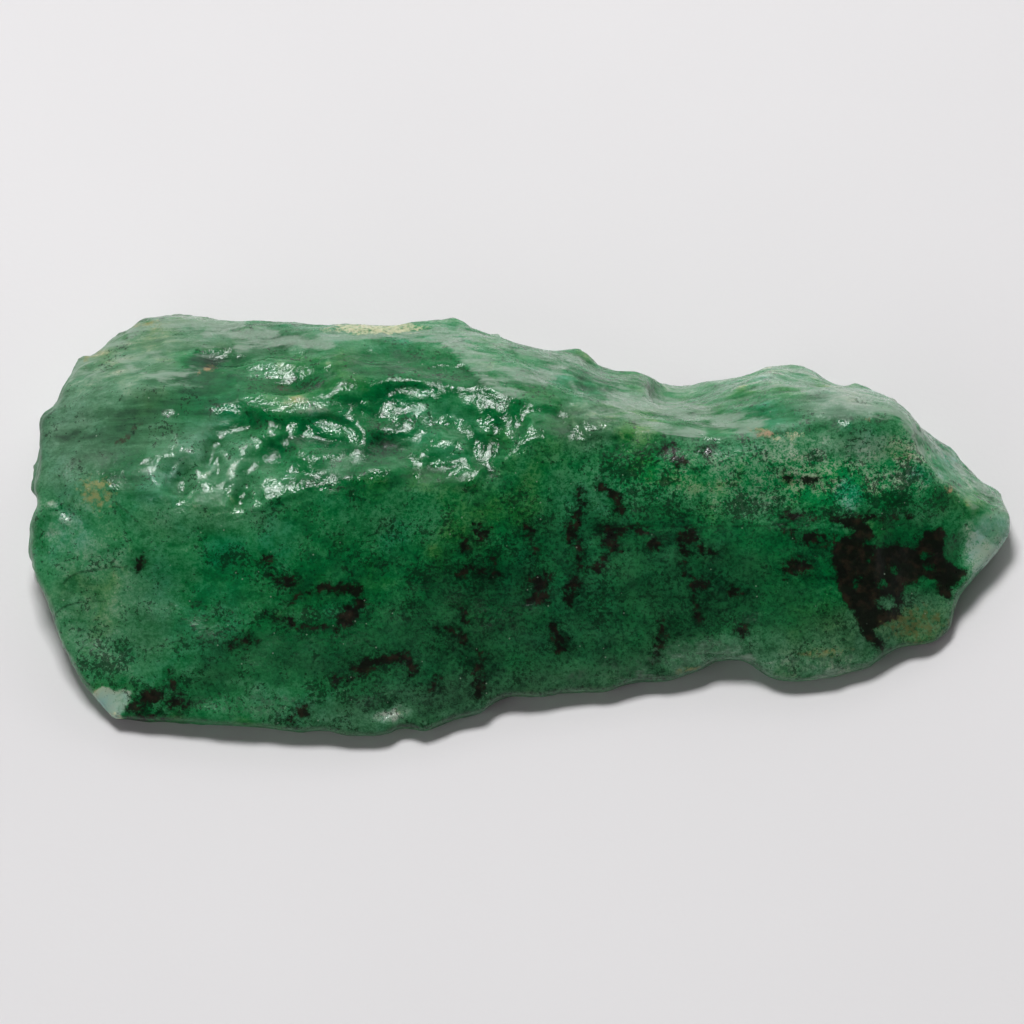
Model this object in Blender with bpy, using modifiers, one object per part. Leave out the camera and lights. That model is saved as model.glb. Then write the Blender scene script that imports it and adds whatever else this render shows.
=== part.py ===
"""Raw fluorite: one broken lump of green fluorite, wedge shaped, resting on a flat cleavage base.

Metres, +Z up, +X along the length.  The lump is shaped in a working frame whose XY plane is the
broad front face (X along the length, Y up the face, Z out of the face), then it is laid back
onto its base.  Lengths named *_MM and every table below are in millimetres.
"""
import math
import random

import bmesh
import bpy
from mathutils import Matrix, Vector
from mathutils.bvhtree import BVHTree

MM = 0.001

# How the finished lump lies: the broad face leans back from level, and the base is cut below it.
FACE_LEAN = math.radians(25.0)
BASE_DROP_MM = 14.0           # height of the face's middle line above the base
PRISM_HALF_MM = 70.0          # the outline prism reaches this far either side of the face
BELOW_BASE_MM = 0.9           # sections run on below the base before it is cut flat

# Surface resolution and relief.
VOXEL_MM = 0.7
TRIANGLE_TARGET = 9700
LUMP_SIZE_MM = 20.0
LUMP_HEIGHT_MM = 1.4
GRAIN_SIZE_MM = 6.0
GRAIN_HEIGHT_MM = 0.5
SKIN_SIZE_MM = 3.0
SKIN_HEIGHT_MM = 0.4
WELD_MM = 0.05

# The broken outline seen square to the broad face, clockwise from the lower left corner.
OUTLINE_MM = (
    # left end, going up
    (-53.5, -24.5), (-55.5, -21.5), (-57.5, -18.5), (-59.5, -14.5), (-61.5, -10.5), (-63.0, -6.5),
    (-64.0, -2.5), (-63.5, 1.5), (-62.3, 2.8), (-63.2, 5.0), (-62.4, 8.0), (-62.6, 14.5),
    (-60.8, 15.5), (-59.6, 18.5), (-57.5, 21.5), (-54.5, 24.6), (-51.5, 26.5),
    # back rim, going right
    (-46.5, 27.6), (-38.0, 27.1), (-30.0, 26.6), (-26.5, 26.1), (-19.0, 27.3), (-10.5, 26.6),
    (-4.0, 25.8), (0.0, 24.7), (3.6, 23.0), (6.6, 22.6), (9.5, 21.6), (16.0, 20.4), (22.0, 19.6),
    (26.5, 20.8), (31.0, 21.9), (34.5, 21.6), (39.5, 20.1), (43.5, 18.2), (47.5, 16.9),
    # pointed right end, going down
    (49.8, 15.3), (53.5, 12.2), (57.3, 9.2), (58.0, 7.8), (60.5, 5.6), (63.8, 1.4), (63.3, -0.6),
    (60.5, -4.2), (56.3, -8.4), (55.8, -10.8), (55.2, -13.4),
    # front lower edge, going left
    (53.5, -14.8), (49.5, -15.2), (46.8, -16.2), (44.8, -17.8), (41.0, -19.0), (36.5, -20.0),
    (32.5, -19.6), (30.2, -18.0), (28.6, -16.9), (25.2, -16.9), (22.8, -18.4), (18.0, -20.0),
    (10.4, -21.1), (4.0, -21.3), (1.6, -22.2), (-1.5, -22.2), (-4.6, -23.8), (-9.0, -24.6),
    (-12.3, -26.1), (-15.6, -25.6), (-18.6, -26.7), (-24.5, -26.7), (-34.0, -25.7), (-44.0, -25.0),
)

# Sections across the length.  Each row: station along X, the front edge, the height of the
# broad face there and at its middle, the ridge between the face and the top and how widely it is
# rounded, the back rim as seen up the face, how high the rim stands over the base, how far the
# top bulges over the straight line from ridge to rim, and how far the back wall bellies out.
#   x      front   edge_z middle_z ridge_y ridge_z round  rim_y  rim_height bulge  belly
SECTIONS_MM = (
    (-67.0, -20.0, -4.6,  -4.8,    3.0,    -5.4,   1.0,   20.0,  7.0,       1.0,   0.0),
    (-60.0, -26.0, -1.8,  -2.0,    4.0,    -2.4,   1.2,   21.5,  8.0,       2.0,   0.8),
    (-53.5, -27.0, -0.8,  -0.6,    4.8,    -0.6,   1.4,   25.5,  8.5,       3.2,   -0.4),
    (-47.0, -27.5, -0.4,   0.2,    4.6,     0.2,   1.2,   27.9,  9.0,       3.6,   0.8),
    (-39.0, -28.0, -0.2,   0.4,    2.6,     0.6,   0.8,   27.6,  10.0,      3.4,   0.4),
    (-30.0, -28.5, -0.2,   0.5,    4.4,     0.8,   0.8,   27.2,  11.0,      3.4,   1.0),
    (-21.0, -28.5, -0.5,   0.4,    6.6,     0.8,   0.8,   27.6,  11.5,      3.6,   0.8),
    (-11.5, -28.0, -0.8,   0.2,    6.0,     0.5,   1.0,   27.2,  11.0,      4.2,   -0.4),
    (-5.0,  -26.0, -1.8,  -0.2,    7.4,     0.4,   1.0,   26.6,  10.5,      4.2,   0.6),
    (1.5,   -24.5, -2.6,  -0.4,    11.6,    0.2,   1.6,   25.0,  9.0,       2.6,   1.2),
    (9.0,   -23.5, -3.2,  -0.7,    13.2,    0.0,   2.6,   22.4,  6.5,       1.2,   0.6),
    (17.0,  -22.5, -3.8,  -1.0,    13.0,   -0.3,   4.2,   20.5,  4.5,       0.4,   0.2),
    (25.0,  -21.0, -4.2,  -1.2,    12.4,   -0.6,   5.0,   20.2,  4.0,       0.4,   0.3),
    (32.5,  -22.0, -3.8,  -1.2,    13.8,   -0.5,   5.0,   22.2,  4.5,       1.6,   0.4),
    (40.0,  -21.5, -4.0,  -1.5,    15.2,   -0.8,   4.0,   20.5,  5.5,       1.6,   0.4),
    (48.0,  -18.5, -5.2,  -3.2,    14.8,   -2.0,   2.6,   17.6,  7.0,       0.8,   0.2),
    (53.0,  -17.5, -5.8,  -5.2,    9.5,    -3.8,   2.0,   13.5,  7.0,       0.8,   0.2),
    (57.5,  -16.0, -6.6,  -7.0,    4.0,    -6.6,   1.6,   9.9,   5.5,       0.6,   0.2),
    (66.0,  -8.0,  -10.4, -11.0,  -0.5,    -11.5,  1.0,   3.0,   2.6,       0.0,   0.0),
)
FRONT_ROLL_WIDTH_MM = 6.0     # the front edge rolls back over this much of the face
FRONT_ROLL_SHARE = 0.35       # of the roll still to come where that width begins
BACK_WALL_FLARE_MM = 1.5      # the back wall stands this much further out at the base
FRONT_FOOT_MM = 3.5           # the front undercut reaches the base this far behind the edge

# Shallow broken hollows whose places are known.  Each row: where it is on the face or top
# (x, y), its half length, half width and bite, the turn of its long side from X, and its tilt,
# which sinks the far side of the hollow into a step and lets the near side run out.
#    x      y      half_l half_w  bite  turn    tilt
HOLLOWS_MM = (
    # valley between the pale back hump and the glassy top
    (-50.0, 12.0,  8.0,   3.2,    1.5,  28.0,   10.0),
    (-41.0, 16.4,  7.0,   2.8,    1.4,  14.0,   12.0),
    # crevice under the back rim
    (-39.5, 22.0,  4.6,   1.5,    1.2,  -8.0,   20.0),
    (-31.5, 23.6,  6.5,   2.2,    0.9,  -4.0,   12.0),
    # scalloped steps climbing across the glassy top
    (-30.5, 19.4,  6.0,   3.0,    1.2,  8.0,    20.0),
    (-37.0, 14.6,  5.2,   2.8,    1.2,  -14.0,  22.0),
    (-26.0, 13.6,  6.6,   3.2,    1.5,  -14.0,  22.0),
    (-30.5, 9.6,   5.0,   2.6,    1.2,  -24.0,  20.0),
    (-44.5, 8.2,   2.2,   4.6,    1.1,  10.0,   18.0),
    (-40.0, 7.4,   2.0,   5.0,    1.1,  -8.0,   -18.0),
    (-35.4, 6.6,   2.0,   4.4,    1.1,  -16.0,  18.0),
    (-24.0, 8.4,   4.6,   2.6,    1.1,  10.0,   18.0),
    (-17.5, 17.0,  6.5,   3.6,    1.4,  20.0,   18.0),
    (-17.0, 11.6,  5.6,   3.0,    1.3,  2.0,    20.0),
    (-11.0, 8.4,   4.4,   2.4,    1.0,  14.0,   18.0),
    (-9.0,  15.0,  5.6,   3.2,    1.2,  -24.0,  18.0),
    (-8.5,  21.0,  7.5,   3.0,    1.0,  -18.0,  12.0),
    (-18.0, 22.8,  7.5,   2.4,    0.9,  -4.0,   12.0),
    # upright chips behind the step in the ridge
    (-4.2,  12.2,  2.6,   4.4,    1.0,  -12.0,  14.0),
    (0.2,   14.4,  2.4,   4.2,    1.0,  -24.0,  14.0),
    (5.6,   15.4,  2.6,   3.4,    0.8,  -30.0,  12.0),
    # furrows between the ribs that meet at the saddle
    (4.0,   19.8,  8.0,   1.9,    0.8,  -34.0,  12.0),
    (10.5,  18.2,  8.0,   1.8,    0.6,  -20.0,  12.0),
    (0.0,   22.4,  6.0,   1.6,    0.7,  -40.0,  12.0),
    (16.0,  15.6,  5.0,   1.6,    0.5,  -12.0,  10.0),
    # saddle and hump of the back slope
    (18.5,  16.6,  6.0,   2.2,    0.4,  -3.0,   0.0),
    (39.5,  17.0,  5.5,   1.4,    0.4,  -12.0,  8.0),
    # pits and shallow dishes in the broad face
    (24.2,  10.4,  1.2,   1.0,    0.7,  0.0,    0.0),
    (19.0,  10.4,  2.0,   1.3,    0.5,  -30.0,  0.0),
    (-24.0, -10.4, 6.2,   3.6,    0.6,  -12.0,  6.0),
    (-18.5, -18.0, 6.5,   2.4,    0.6,  32.0,   8.0),
    (-4.5,  -18.5, 3.2,   4.6,    0.5,  14.0,   6.0),
    (10.5,  0.0,   4.4,   6.0,    0.5,  24.0,   4.0),
    (-4.0,  -6.0,  9.0,   5.0,    0.5,  -20.0,  3.0),
    (-44.0, -8.0,  11.0,  7.0,    0.6,  12.0,   3.0),
    (-40.0, -20.0, 6.0,   2.6,    0.5,  -6.0,   8.0),
    (31.0,  -8.0,  10.0,  6.0,    0.6,  -18.0,  3.0),
    (33.0,  4.0,   9.0,   4.0,    0.4,  6.0,    3.0),
    (19.0,  -16.0, 8.0,   2.4,    0.5,  10.0,   8.0),
    # the dark patch at the right end sinks to a step on its left, with flake scars round it
    (48.6,  -6.6,  9.0,   5.6,    0.8,  -62.0,  -7.0),
    (57.0,  -2.6,  4.6,   3.0,    0.7,  48.0,   10.0),
    (53.8,  10.4,  5.6,   1.8,    0.6,  -44.0,  10.0),
    (58.6,  5.0,   4.0,   1.6,    0.5,  -46.0,  10.0),
    (50.0,  -13.0, 4.6,   2.2,    0.7,  8.0,    8.0),
    # scar on the lower edge, chipped corners and the left end
    (-15.8, -24.2, 3.0,   1.6,    0.8,  -8.0,   0.0),
    (-51.8, -21.8, 2.8,   2.4,    0.6,  30.0,   0.0),
    (-60.0, 4.0,   2.4,   4.6,    0.7,  6.0,    12.0),
    (-57.5, -8.0,  2.8,   7.0,    0.6,  22.0,   6.0),
    (-57.0, 14.0,  3.0,   4.0,    0.6,  -20.0,  8.0),
)
HOLLOW_ROUNDNESS = 4.0        # depth of each hollow's ellipsoid over its bite

# Broad broken scars over the sides that the face does not show.  Each row: how many, the side
# they are struck from as a direction in the finished lie, the highest they reach, their half
# length range and bite.
#    count  side                  highest  half length  bite
SCAR_GROUPS = (
    (40,    (0.0, 1.0, 0.15),     9.0,     3.0, 8.0,    1.2),
    (20,    (-1.0, 0.2, 0.0),     9.0,     2.5, 6.0,    1.1),
    (12,    (1.0, 0.3, 0.0),      4.0,     2.5, 5.0,    0.8),
    (44,    (0.0, -0.9, -0.42),   3.0,     2.0, 5.0,    0.7),
    (22,    (0.0, 0.0, -1.0),     1.0,     5.0, 12.0,   1.3),
)
SCAR_SEED = 41

GREEN = (0.010, 0.130, 0.048, 1.0)
SURFACE_ROUGHNESS = 0.3


def clear_scene():
    for obj in list(bpy.data.objects):
        bpy.data.objects.remove(obj, do_unlink=True)


def new_collection(name):
    made = bpy.data.collections.new(name)
    bpy.context.scene.collection.children.link(made)
    return made


def lie_matrix():
    """Working frame to the finished lie: lean the face back and stand the base at Z = 0."""
    lift = Matrix.Translation((0.0, 0.0, BASE_DROP_MM * MM))
    return lift @ Matrix.Rotation(FACE_LEAN, 4, "X")


def rim_point(rim_y, rim_height):
    """Working-frame point seen at rim_y up the face whose finished height is rim_height."""
    rise = rim_height - BASE_DROP_MM - rim_y * math.sin(FACE_LEAN)
    return rim_y, rise / math.cos(FACE_LEAN)


def from_lie(y, z):
    """Finished (y, z) in millimetres to working-frame (y, z)."""
    z = z - BASE_DROP_MM
    return (y * math.cos(FACE_LEAN) + z * math.sin(FACE_LEAN),
            z * math.cos(FACE_LEAN) - y * math.sin(FACE_LEAN))


def to_lie(y, z):
    """Working-frame (y, z) in millimetres to finished (y, z)."""
    return (y * math.cos(FACE_LEAN) - z * math.sin(FACE_LEAN),
            y * math.sin(FACE_LEAN) + z * math.cos(FACE_LEAN) + BASE_DROP_MM)


def toward(start, finish, length):
    """The point length from start on the way to finish, at most halfway."""
    run = (finish[0] - start[0], finish[1] - start[1])
    share = min(length / math.hypot(*run), 0.5)
    return start[0] + run[0] * share, start[1] + run[1] * share


def section_ring(row):
    """One closed ring of points across the lump, from the front foot over the top to the back."""
    x, front, edge_z, middle_z, ridge_y, ridge_z, rounding, rim_y, rim_height, bulge, belly = row
    edge = (front, edge_z)
    edge_lie = to_lie(*edge)
    face_low = (front + FRONT_ROLL_WIDTH_MM, middle_z + (edge_z - middle_z) * FRONT_ROLL_SHARE)
    face_middle = ((front + ridge_y) / 2.0, middle_z)
    ridge = (ridge_y, ridge_z)
    rim = rim_point(rim_y, rim_height)
    rim_lie = to_lie(*rim)
    run = (rim[0] - ridge_y, rim[1] - ridge_z)
    length = math.hypot(*run)
    crown = (ridge_y + run[0] * 0.5 - run[1] / length * bulge,
             ridge_z + run[1] * 0.5 + run[0] / length * bulge)
    before = toward(ridge, face_middle, rounding)
    after = toward(ridge, crown, rounding)
    summit = ((before[0] + after[0] + 2.0 * ridge[0]) / 4.0,
              (before[1] + after[1] + 2.0 * ridge[1]) / 4.0)
    ring = (
        from_lie(edge_lie[0] + FRONT_FOOT_MM, -BELOW_BASE_MM),
        edge,
        face_low,
        face_middle,
        before,
        summit,
        after,
        crown,
        rim,
        from_lie(rim_lie[0] + BACK_WALL_FLARE_MM * 0.5 + belly, rim_lie[1] * 0.5),
        from_lie(rim_lie[0] + BACK_WALL_FLARE_MM, -BELOW_BASE_MM),
    )
    return [Vector((x, y, z)) * MM for y, z in ring]


def loft_body():
    """The wedge-shaped body, lofted through the unlike sections from left to right."""
    mesh = bpy.data.meshes.new("body")
    bm = bmesh.new()
    rings = [[bm.verts.new(point) for point in section_ring(row)] for row in SECTIONS_MM]
    count = len(rings[0])
    for near, far in zip(rings, rings[1:]):
        for i in range(count):
            j = (i + 1) % count
            bm.faces.new((near[i], near[j], far[j], far[i]))
    bm.faces.new(list(reversed(rings[0])))
    bm.faces.new(rings[-1])
    bmesh.ops.recalc_face_normals(bm, faces=bm.faces)
    bmesh.ops.triangulate(bm, faces=bm.faces)
    bm.to_mesh(mesh)
    bm.free()
    return bpy.data.objects.new("body", mesh)


def outline_prism():
    """The broken outline carried straight through the lump, square to the broad face."""
    curve = bpy.data.curves.new("outline", "CURVE")
    curve.dimensions = "2D"
    curve.fill_mode = "BOTH"
    curve.extrude = PRISM_HALF_MM * MM
    spline = curve.splines.new("POLY")
    spline.points.add(len(OUTLINE_MM) - 1)
    for point, (x, y) in zip(spline.points, OUTLINE_MM):
        point.co = (x * MM, y * MM, 0.0, 1.0)
    spline.use_cyclic_u = True
    curve_object = bpy.data.objects.new("outline_curve", curve)
    bpy.context.scene.collection.objects.link(curve_object)
    mesh = evaluated_mesh(curve_object)
    bm = bmesh.new()
    bm.from_mesh(mesh)
    bmesh.ops.remove_doubles(bm, verts=bm.verts, dist=1e-6)
    bmesh.ops.recalc_face_normals(bm, faces=bm.faces)
    bm.to_mesh(mesh)
    bm.free()
    bpy.data.objects.remove(curve_object, do_unlink=True)
    return bpy.data.objects.new("outline_prism", mesh)


def evaluated_mesh(obj):
    graph = bpy.context.evaluated_depsgraph_get()
    return bpy.data.meshes.new_from_object(obj.evaluated_get(graph))


def surface_tree(obj):
    bm = bmesh.new()
    bm.from_mesh(evaluated_mesh(obj))
    tree = BVHTree.FromBMesh(bm)
    bm.free()
    return tree


def add_hollow(cutters, name, point, normal, size, bite, turn, tilt):
    """A wide ellipsoid that dishes the surface at point, size being its half length and width."""
    along = Vector((math.cos(turn), math.sin(turn), 0.0))
    along = (along - normal * along.dot(normal)).normalized()
    outward = Matrix.Rotation(tilt, 3, along) @ normal
    across = outward.cross(along)
    deep = bite * HOLLOW_ROUNDNESS
    opening = math.sqrt(1.0 - (1.0 - 1.0 / HOLLOW_ROUNDNESS) ** 2)
    radii = Vector((size[0] / opening, size[1] / opening, deep))
    centre = point + outward * (deep - bite)
    axes = Matrix((along, across, outward)).transposed()
    bm = bmesh.new()
    bmesh.ops.create_icosphere(bm, subdivisions=3, radius=1.0)
    mesh = bpy.data.meshes.new(name)
    bm.to_mesh(mesh)
    bm.free()
    mesh.transform(Matrix.Translation(centre) @ axes.to_4x4() @ Matrix.Diagonal(radii).to_4x4())
    cutter = bpy.data.objects.new(name, mesh)
    cutter.display_type = "WIRE"
    cutter.hide_render = True
    cutters.objects.link(cutter)


def add_known_hollows(cutters, tree):
    for number, row in enumerate(HOLLOWS_MM):
        x, y, half_length, half_width, bite, turn, tilt = row
        start = Vector((x, y, PRISM_HALF_MM)) * MM
        point, normal, _, _ = tree.ray_cast(start, Vector((0.0, 0.0, -1.0)))
        if point is None:
            raise ValueError("hollow %d misses the lump" % number)
        add_hollow(cutters, "hollow_%02d" % number, point, normal,
                   (half_length * MM, half_width * MM), bite * MM,
                   math.radians(turn), math.radians(tilt))


def add_side_scars(cutters, tree):
    """Seeded scars struck over the hidden sides, so every side is broken stone."""
    chance = random.Random(SCAR_SEED)
    lie = lie_matrix()
    to_working = lie.to_3x3().inverted()
    for group, (count, side, highest, smallest, largest, bite) in enumerate(SCAR_GROUPS):
        outward = (to_working @ Vector(side)).normalized()
        placed = 0
        while placed < count:
            target = Vector((chance.uniform(-62.0, 62.0), chance.uniform(-30.0, 30.0),
                             chance.uniform(-50.0, 5.0))) * MM
            point, normal, _, _ = tree.ray_cast(target + outward * 0.2, -outward)
            if point is None or normal.dot(outward) < 0.35:
                continue
            if (lie @ point).z > highest * MM:
                continue
            half_length = chance.uniform(smallest, largest) * MM
            half_width = half_length * chance.uniform(0.5, 0.9)
            add_hollow(cutters, "scar_%d_%02d" % (group, placed), point, normal,
                       (half_length, half_width), bite * chance.uniform(0.6, 1.1) * MM,
                       chance.uniform(0.0, math.pi), math.radians(chance.uniform(-14.0, 14.0)))
            placed += 1


def boolean(obj, name, operation, cutter=None, collection=None):
    modifier = obj.modifiers.new(name, "BOOLEAN")
    modifier.operation = operation
    modifier.solver = "EXACT"
    if collection:
        modifier.operand_type = "COLLECTION"
        modifier.collection = collection
    else:
        modifier.object = cutter


def clouds(name, size, depth):
    texture = bpy.data.textures.new(name, "CLOUDS")
    texture.noise_scale = size
    texture.noise_depth = depth
    return texture


def displace(obj, name, texture, height, direction):
    modifier = obj.modifiers.new(name, "DISPLACE")
    modifier.texture = texture
    modifier.texture_coords = "LOCAL"
    modifier.direction = direction
    modifier.strength = height
    modifier.mid_level = 0.5


def bake(obj):
    """Replace the object's mesh by its evaluated one and drop its modifiers."""
    mesh = evaluated_mesh(obj)
    obj.modifiers.clear()
    obj.data = mesh


def drop_crumbs(bm):
    """Keep the largest closed skin and drop any crumb that a cut has freed from it."""
    waiting = set(bm.faces)
    skins = []
    while waiting:
        front = [waiting.pop()]
        skin = list(front)
        while front:
            for edge in front.pop().edges:
                if len(edge.link_faces) != 2:
                    continue
                for face in edge.link_faces:
                    if face in waiting:
                        waiting.remove(face)
                        front.append(face)
                        skin.append(face)
        skins.append(skin)
    skins.sort(key=len)
    for crumb in skins[:-1]:
        bmesh.ops.delete(bm, geom=crumb, context="FACES")


def lay_down(obj):
    """Lean the lump into its finished lie, cut the base flat and centre it on the origin."""
    obj.data.transform(lie_matrix())
    bpy.ops.mesh.primitive_cube_add(size=2.0 * PRISM_HALF_MM * MM,
                                    location=(0.0, 0.0, -PRISM_HALF_MM * MM))
    table = bpy.context.object
    boolean(obj, "base", "DIFFERENCE", cutter=table)
    bake(obj)
    bpy.data.objects.remove(table, do_unlink=True)
    bm = bmesh.new()
    bm.from_mesh(obj.data)
    bmesh.ops.remove_doubles(bm, verts=bm.verts, dist=WELD_MM * MM)
    bmesh.ops.dissolve_degenerate(bm, edges=bm.edges, dist=WELD_MM * MM)
    drop_crumbs(bm)
    bmesh.ops.triangulate(bm, faces=bm.faces)
    bmesh.ops.recalc_face_normals(bm, faces=bm.faces)
    xs = [vert.co.x for vert in bm.verts]
    ys = [vert.co.y for vert in bm.verts]
    middle = Vector(((min(xs) + max(xs)) / 2.0, (min(ys) + max(ys)) / 2.0, 0.0))
    bmesh.ops.translate(bm, verts=bm.verts, vec=-middle)
    bm.to_mesh(obj.data)
    bm.free()


def stone_material():
    material = bpy.data.materials.new("green_fluorite")
    material.use_nodes = True
    shader = material.node_tree.nodes["Principled BSDF"]
    shader.inputs["Base Color"].default_value = GREEN
    shader.inputs["Roughness"].default_value = SURFACE_ROUGHNESS
    shader.inputs["Metallic"].default_value = 0.0
    material.diffuse_color = GREEN
    return material


def build():
    clear_scene()
    parts = new_collection("raw_fluorite")
    cutters = new_collection("fluorite_cutters")

    stone = loft_body()
    stone.name = "fluorite_lump"
    parts.objects.link(stone)
    prism = outline_prism()
    cutters.objects.link(prism)
    boolean(stone, "outline", "INTERSECT", cutter=prism)
    bake(stone)
    bpy.data.objects.remove(prism, do_unlink=True)

    tree = surface_tree(stone)
    add_known_hollows(cutters, tree)
    add_side_scars(cutters, tree)
    boolean(stone, "hollows", "DIFFERENCE", collection=cutters)
    bake(stone)
    for cutter in list(cutters.objects):
        bpy.data.objects.remove(cutter, do_unlink=True)

    remesh = stone.modifiers.new("even_skin", "REMESH")
    remesh.mode = "VOXEL"
    remesh.voxel_size = VOXEL_MM * MM
    soften = stone.modifiers.new("soften", "SMOOTH")
    soften.factor = 0.5
    soften.iterations = 3
    # Lumps and grain rise straight out of the broad face, which keeps the broken outline.
    lumps = clouds("lump_noise", LUMP_SIZE_MM * MM, 1)
    grain = clouds("grain_noise", GRAIN_SIZE_MM * MM, 2)
    skin = clouds("skin_noise", SKIN_SIZE_MM * MM, 1)
    displace(stone, "lumps", lumps, LUMP_HEIGHT_MM * MM, "Z")
    displace(stone, "grain", grain, GRAIN_HEIGHT_MM * MM, "Z")
    displace(stone, "skin", skin, SKIN_HEIGHT_MM * MM, "NORMAL")
    bake(stone)

    triangles = sum(len(face.vertices) - 2 for face in stone.data.polygons)
    thin_out = stone.modifiers.new("facets", "DECIMATE")
    thin_out.ratio = TRIANGLE_TARGET / triangles
    bake(stone)

    lay_down(stone)
    stone.data.name = "fluorite_lump"
    stone.data.materials.clear()
    stone.data.materials.append(stone_material())
    for face in stone.data.polygons:
        face.use_smooth = False
    bpy.data.collections.remove(cutters)


build()
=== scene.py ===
"""The look of the raw fluorite: skin relief, clouded green body, dark inclusions and glossy breaks.

Metres, +Z up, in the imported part's frame.  Places on the seen side are given as pixels of the
1024 x 1024 photograph and carried onto the stone through the camera below; the hidden sides are
covered by the same seeded patterns.  An ellipse is written as x, y, half width, half height and
turn, in pixels and in degrees anticlockwise.
"""

import math

import bmesh
import bpy
import numpy as np
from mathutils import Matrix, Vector
from mathutils.bvhtree import BVHTree


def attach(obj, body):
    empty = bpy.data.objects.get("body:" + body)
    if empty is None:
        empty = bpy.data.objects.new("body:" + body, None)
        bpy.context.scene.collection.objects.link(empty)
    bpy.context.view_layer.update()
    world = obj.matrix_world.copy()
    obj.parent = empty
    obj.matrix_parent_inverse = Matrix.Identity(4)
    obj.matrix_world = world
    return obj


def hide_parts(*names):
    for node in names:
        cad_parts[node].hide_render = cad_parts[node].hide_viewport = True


MM = 0.001

# Camera: where the photograph seems to be taken from.
PHOTO_SIZE = 1024
CAMERA_ELEVATION = math.radians(65.0)
CAMERA_DISTANCE = 1.2
CAMERA_AIM = np.array((-0.00125, -0.00075, 0.00915))
CAMERA_RIGHT = np.array((1.0, 0.0, 0.0))
CAMERA_UP = np.array((0.0, math.sin(CAMERA_ELEVATION), math.cos(CAMERA_ELEVATION)))
TOWARD_CAMERA = np.array((0.0, -math.cos(CAMERA_ELEVATION), math.sin(CAMERA_ELEVATION)))
PIXEL = 0.00012935            # metres across one photograph pixel at the aim
SENSOR_MM = 36.0
CLIP_END = 50.0

# Lights: direction, distance, width and height, power, and whether the gloss mirrors it.  The key
# light is above the stone and a little behind it to the left.
KEY_DIRECTION = np.array((-0.14, 0.38, 0.91))
LIGHTS = {
    "key": (KEY_DIRECTION, 1.1, (0.34, 0.27), 9.2, True),
    "back_fill": ((0.3, 1.0, 0.5), 1.6, (1.6, 0.8), 4.0, True),
    "front_fill": ((-0.7, -0.8, 0.7), 1.6, (1.4, 1.0), 3.5, False),
}
# The sky is even, and dark round the camera, where the photographer would stand.
SKY_COLOUR = (1.0, 0.985, 1.0, 1.0)
SKY_LEVEL = 0.40
SHADE_INNER = math.radians(42.0)
SHADE_OUTER = math.radians(80.0)
SHADE_LEVEL = 0.02

# Paper under the stone.
FLOOR_SIZE = 6.0
PAPER_DARK = (0.800, 0.785, 0.795, 1.0)
PAPER_LIGHT = (0.825, 0.810, 0.820, 1.0)
PAPER_ROUGHNESS = 0.7
PAPER_BUMP_STRENGTH = 0.4

# Skin mesh.
SKIN_VOXEL = 0.34 * MM
SKIN_TRIANGLES = 190000
SKIN_ROUNDS = 8
BASE_BAND = 0.4 * MM


# ---------------------------------------------------------------- seeded noise over points

# Numbers of the hash that gives each whole-number cell its own chance number.
HASH_AXES = (73856093, 19349663, 83492791)
HASH_SEED = 668265263
HASH_ROUNDS = ((15, 2246822519), (13, 3266489917))
HASH_SHIFT = 16
LOW_32_BITS = 0xFFFFFFFF
LOW_24_BITS = 0xFFFFFF
OCTAVE_STEP = 2.03
OCTAVE_SEEDS = 17
OCTAVE_GAIN = 0.55
FAR_CELL = 9.0


def lattice(cell, seed):
    """A repeatable number in 0..1 for each whole-number cell."""
    n = cell[..., 0] * HASH_AXES[0] ^ cell[..., 1] * HASH_AXES[1] ^ cell[..., 2] * HASH_AXES[2]
    n = (n ^ (seed * HASH_SEED)) & LOW_32_BITS
    for shift, factor in HASH_ROUNDS:
        n = (n ^ (n >> shift)) * factor & LOW_32_BITS
    n = n ^ (n >> HASH_SHIFT)
    return (n & LOW_24_BITS) / float(LOW_24_BITS + 1)


def smooth_noise(points, seed):
    """Smooth noise in -1..1 with features about one unit across."""
    cell = np.floor(points).astype(np.int64)
    part = points - cell
    part = part ** 3 * (part * (part * 6.0 - 15.0) + 10.0)
    total = np.zeros(len(points))
    for corner in np.ndindex(2, 2, 2):
        step = np.array(corner)
        weight = np.prod(np.where(step, part, 1.0 - part), axis=1)
        total += weight * lattice(cell + step, seed)
    return total * 2.0 - 1.0


def cloud_noise(points, seed, octaves=4):
    """Several octaves of smooth noise, in about -1..1."""
    total = np.zeros(len(points))
    level = 1.0
    weight = 0.0
    for octave in range(octaves):
        total += level * smooth_noise(points * OCTAVE_STEP ** octave, seed + OCTAVE_SEEDS * octave)
        weight += level
        level *= OCTAVE_GAIN
    return total / weight


def wander(points, size, seed, reach):
    """Two noises of this reach in pixels that make borders wander in x and in y."""
    return [cloud_noise(points / size, seed=seed + k, octaves=3) * reach for k in range(2)]


def cells(points, seed):
    """For the nearest seeded cell: the distance, the offset from its centre and its number."""
    base = np.floor(points).astype(np.int64)
    best = np.full(len(points), FAR_CELL)
    offset = np.zeros((len(points), 3))
    chosen = base.copy()
    for step in np.ndindex(3, 3, 3):
        cell = base + np.array(step) - 1
        jitter = np.stack([lattice(cell, seed + k) for k in range(3)], axis=1)
        away = points - cell - jitter
        distance = np.linalg.norm(away, axis=1)
        nearer = distance < best
        best = np.where(nearer, distance, best)
        offset[nearer] = away[nearer]
        chosen[nearer] = cell[nearer]
    return best, offset, chosen


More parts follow.
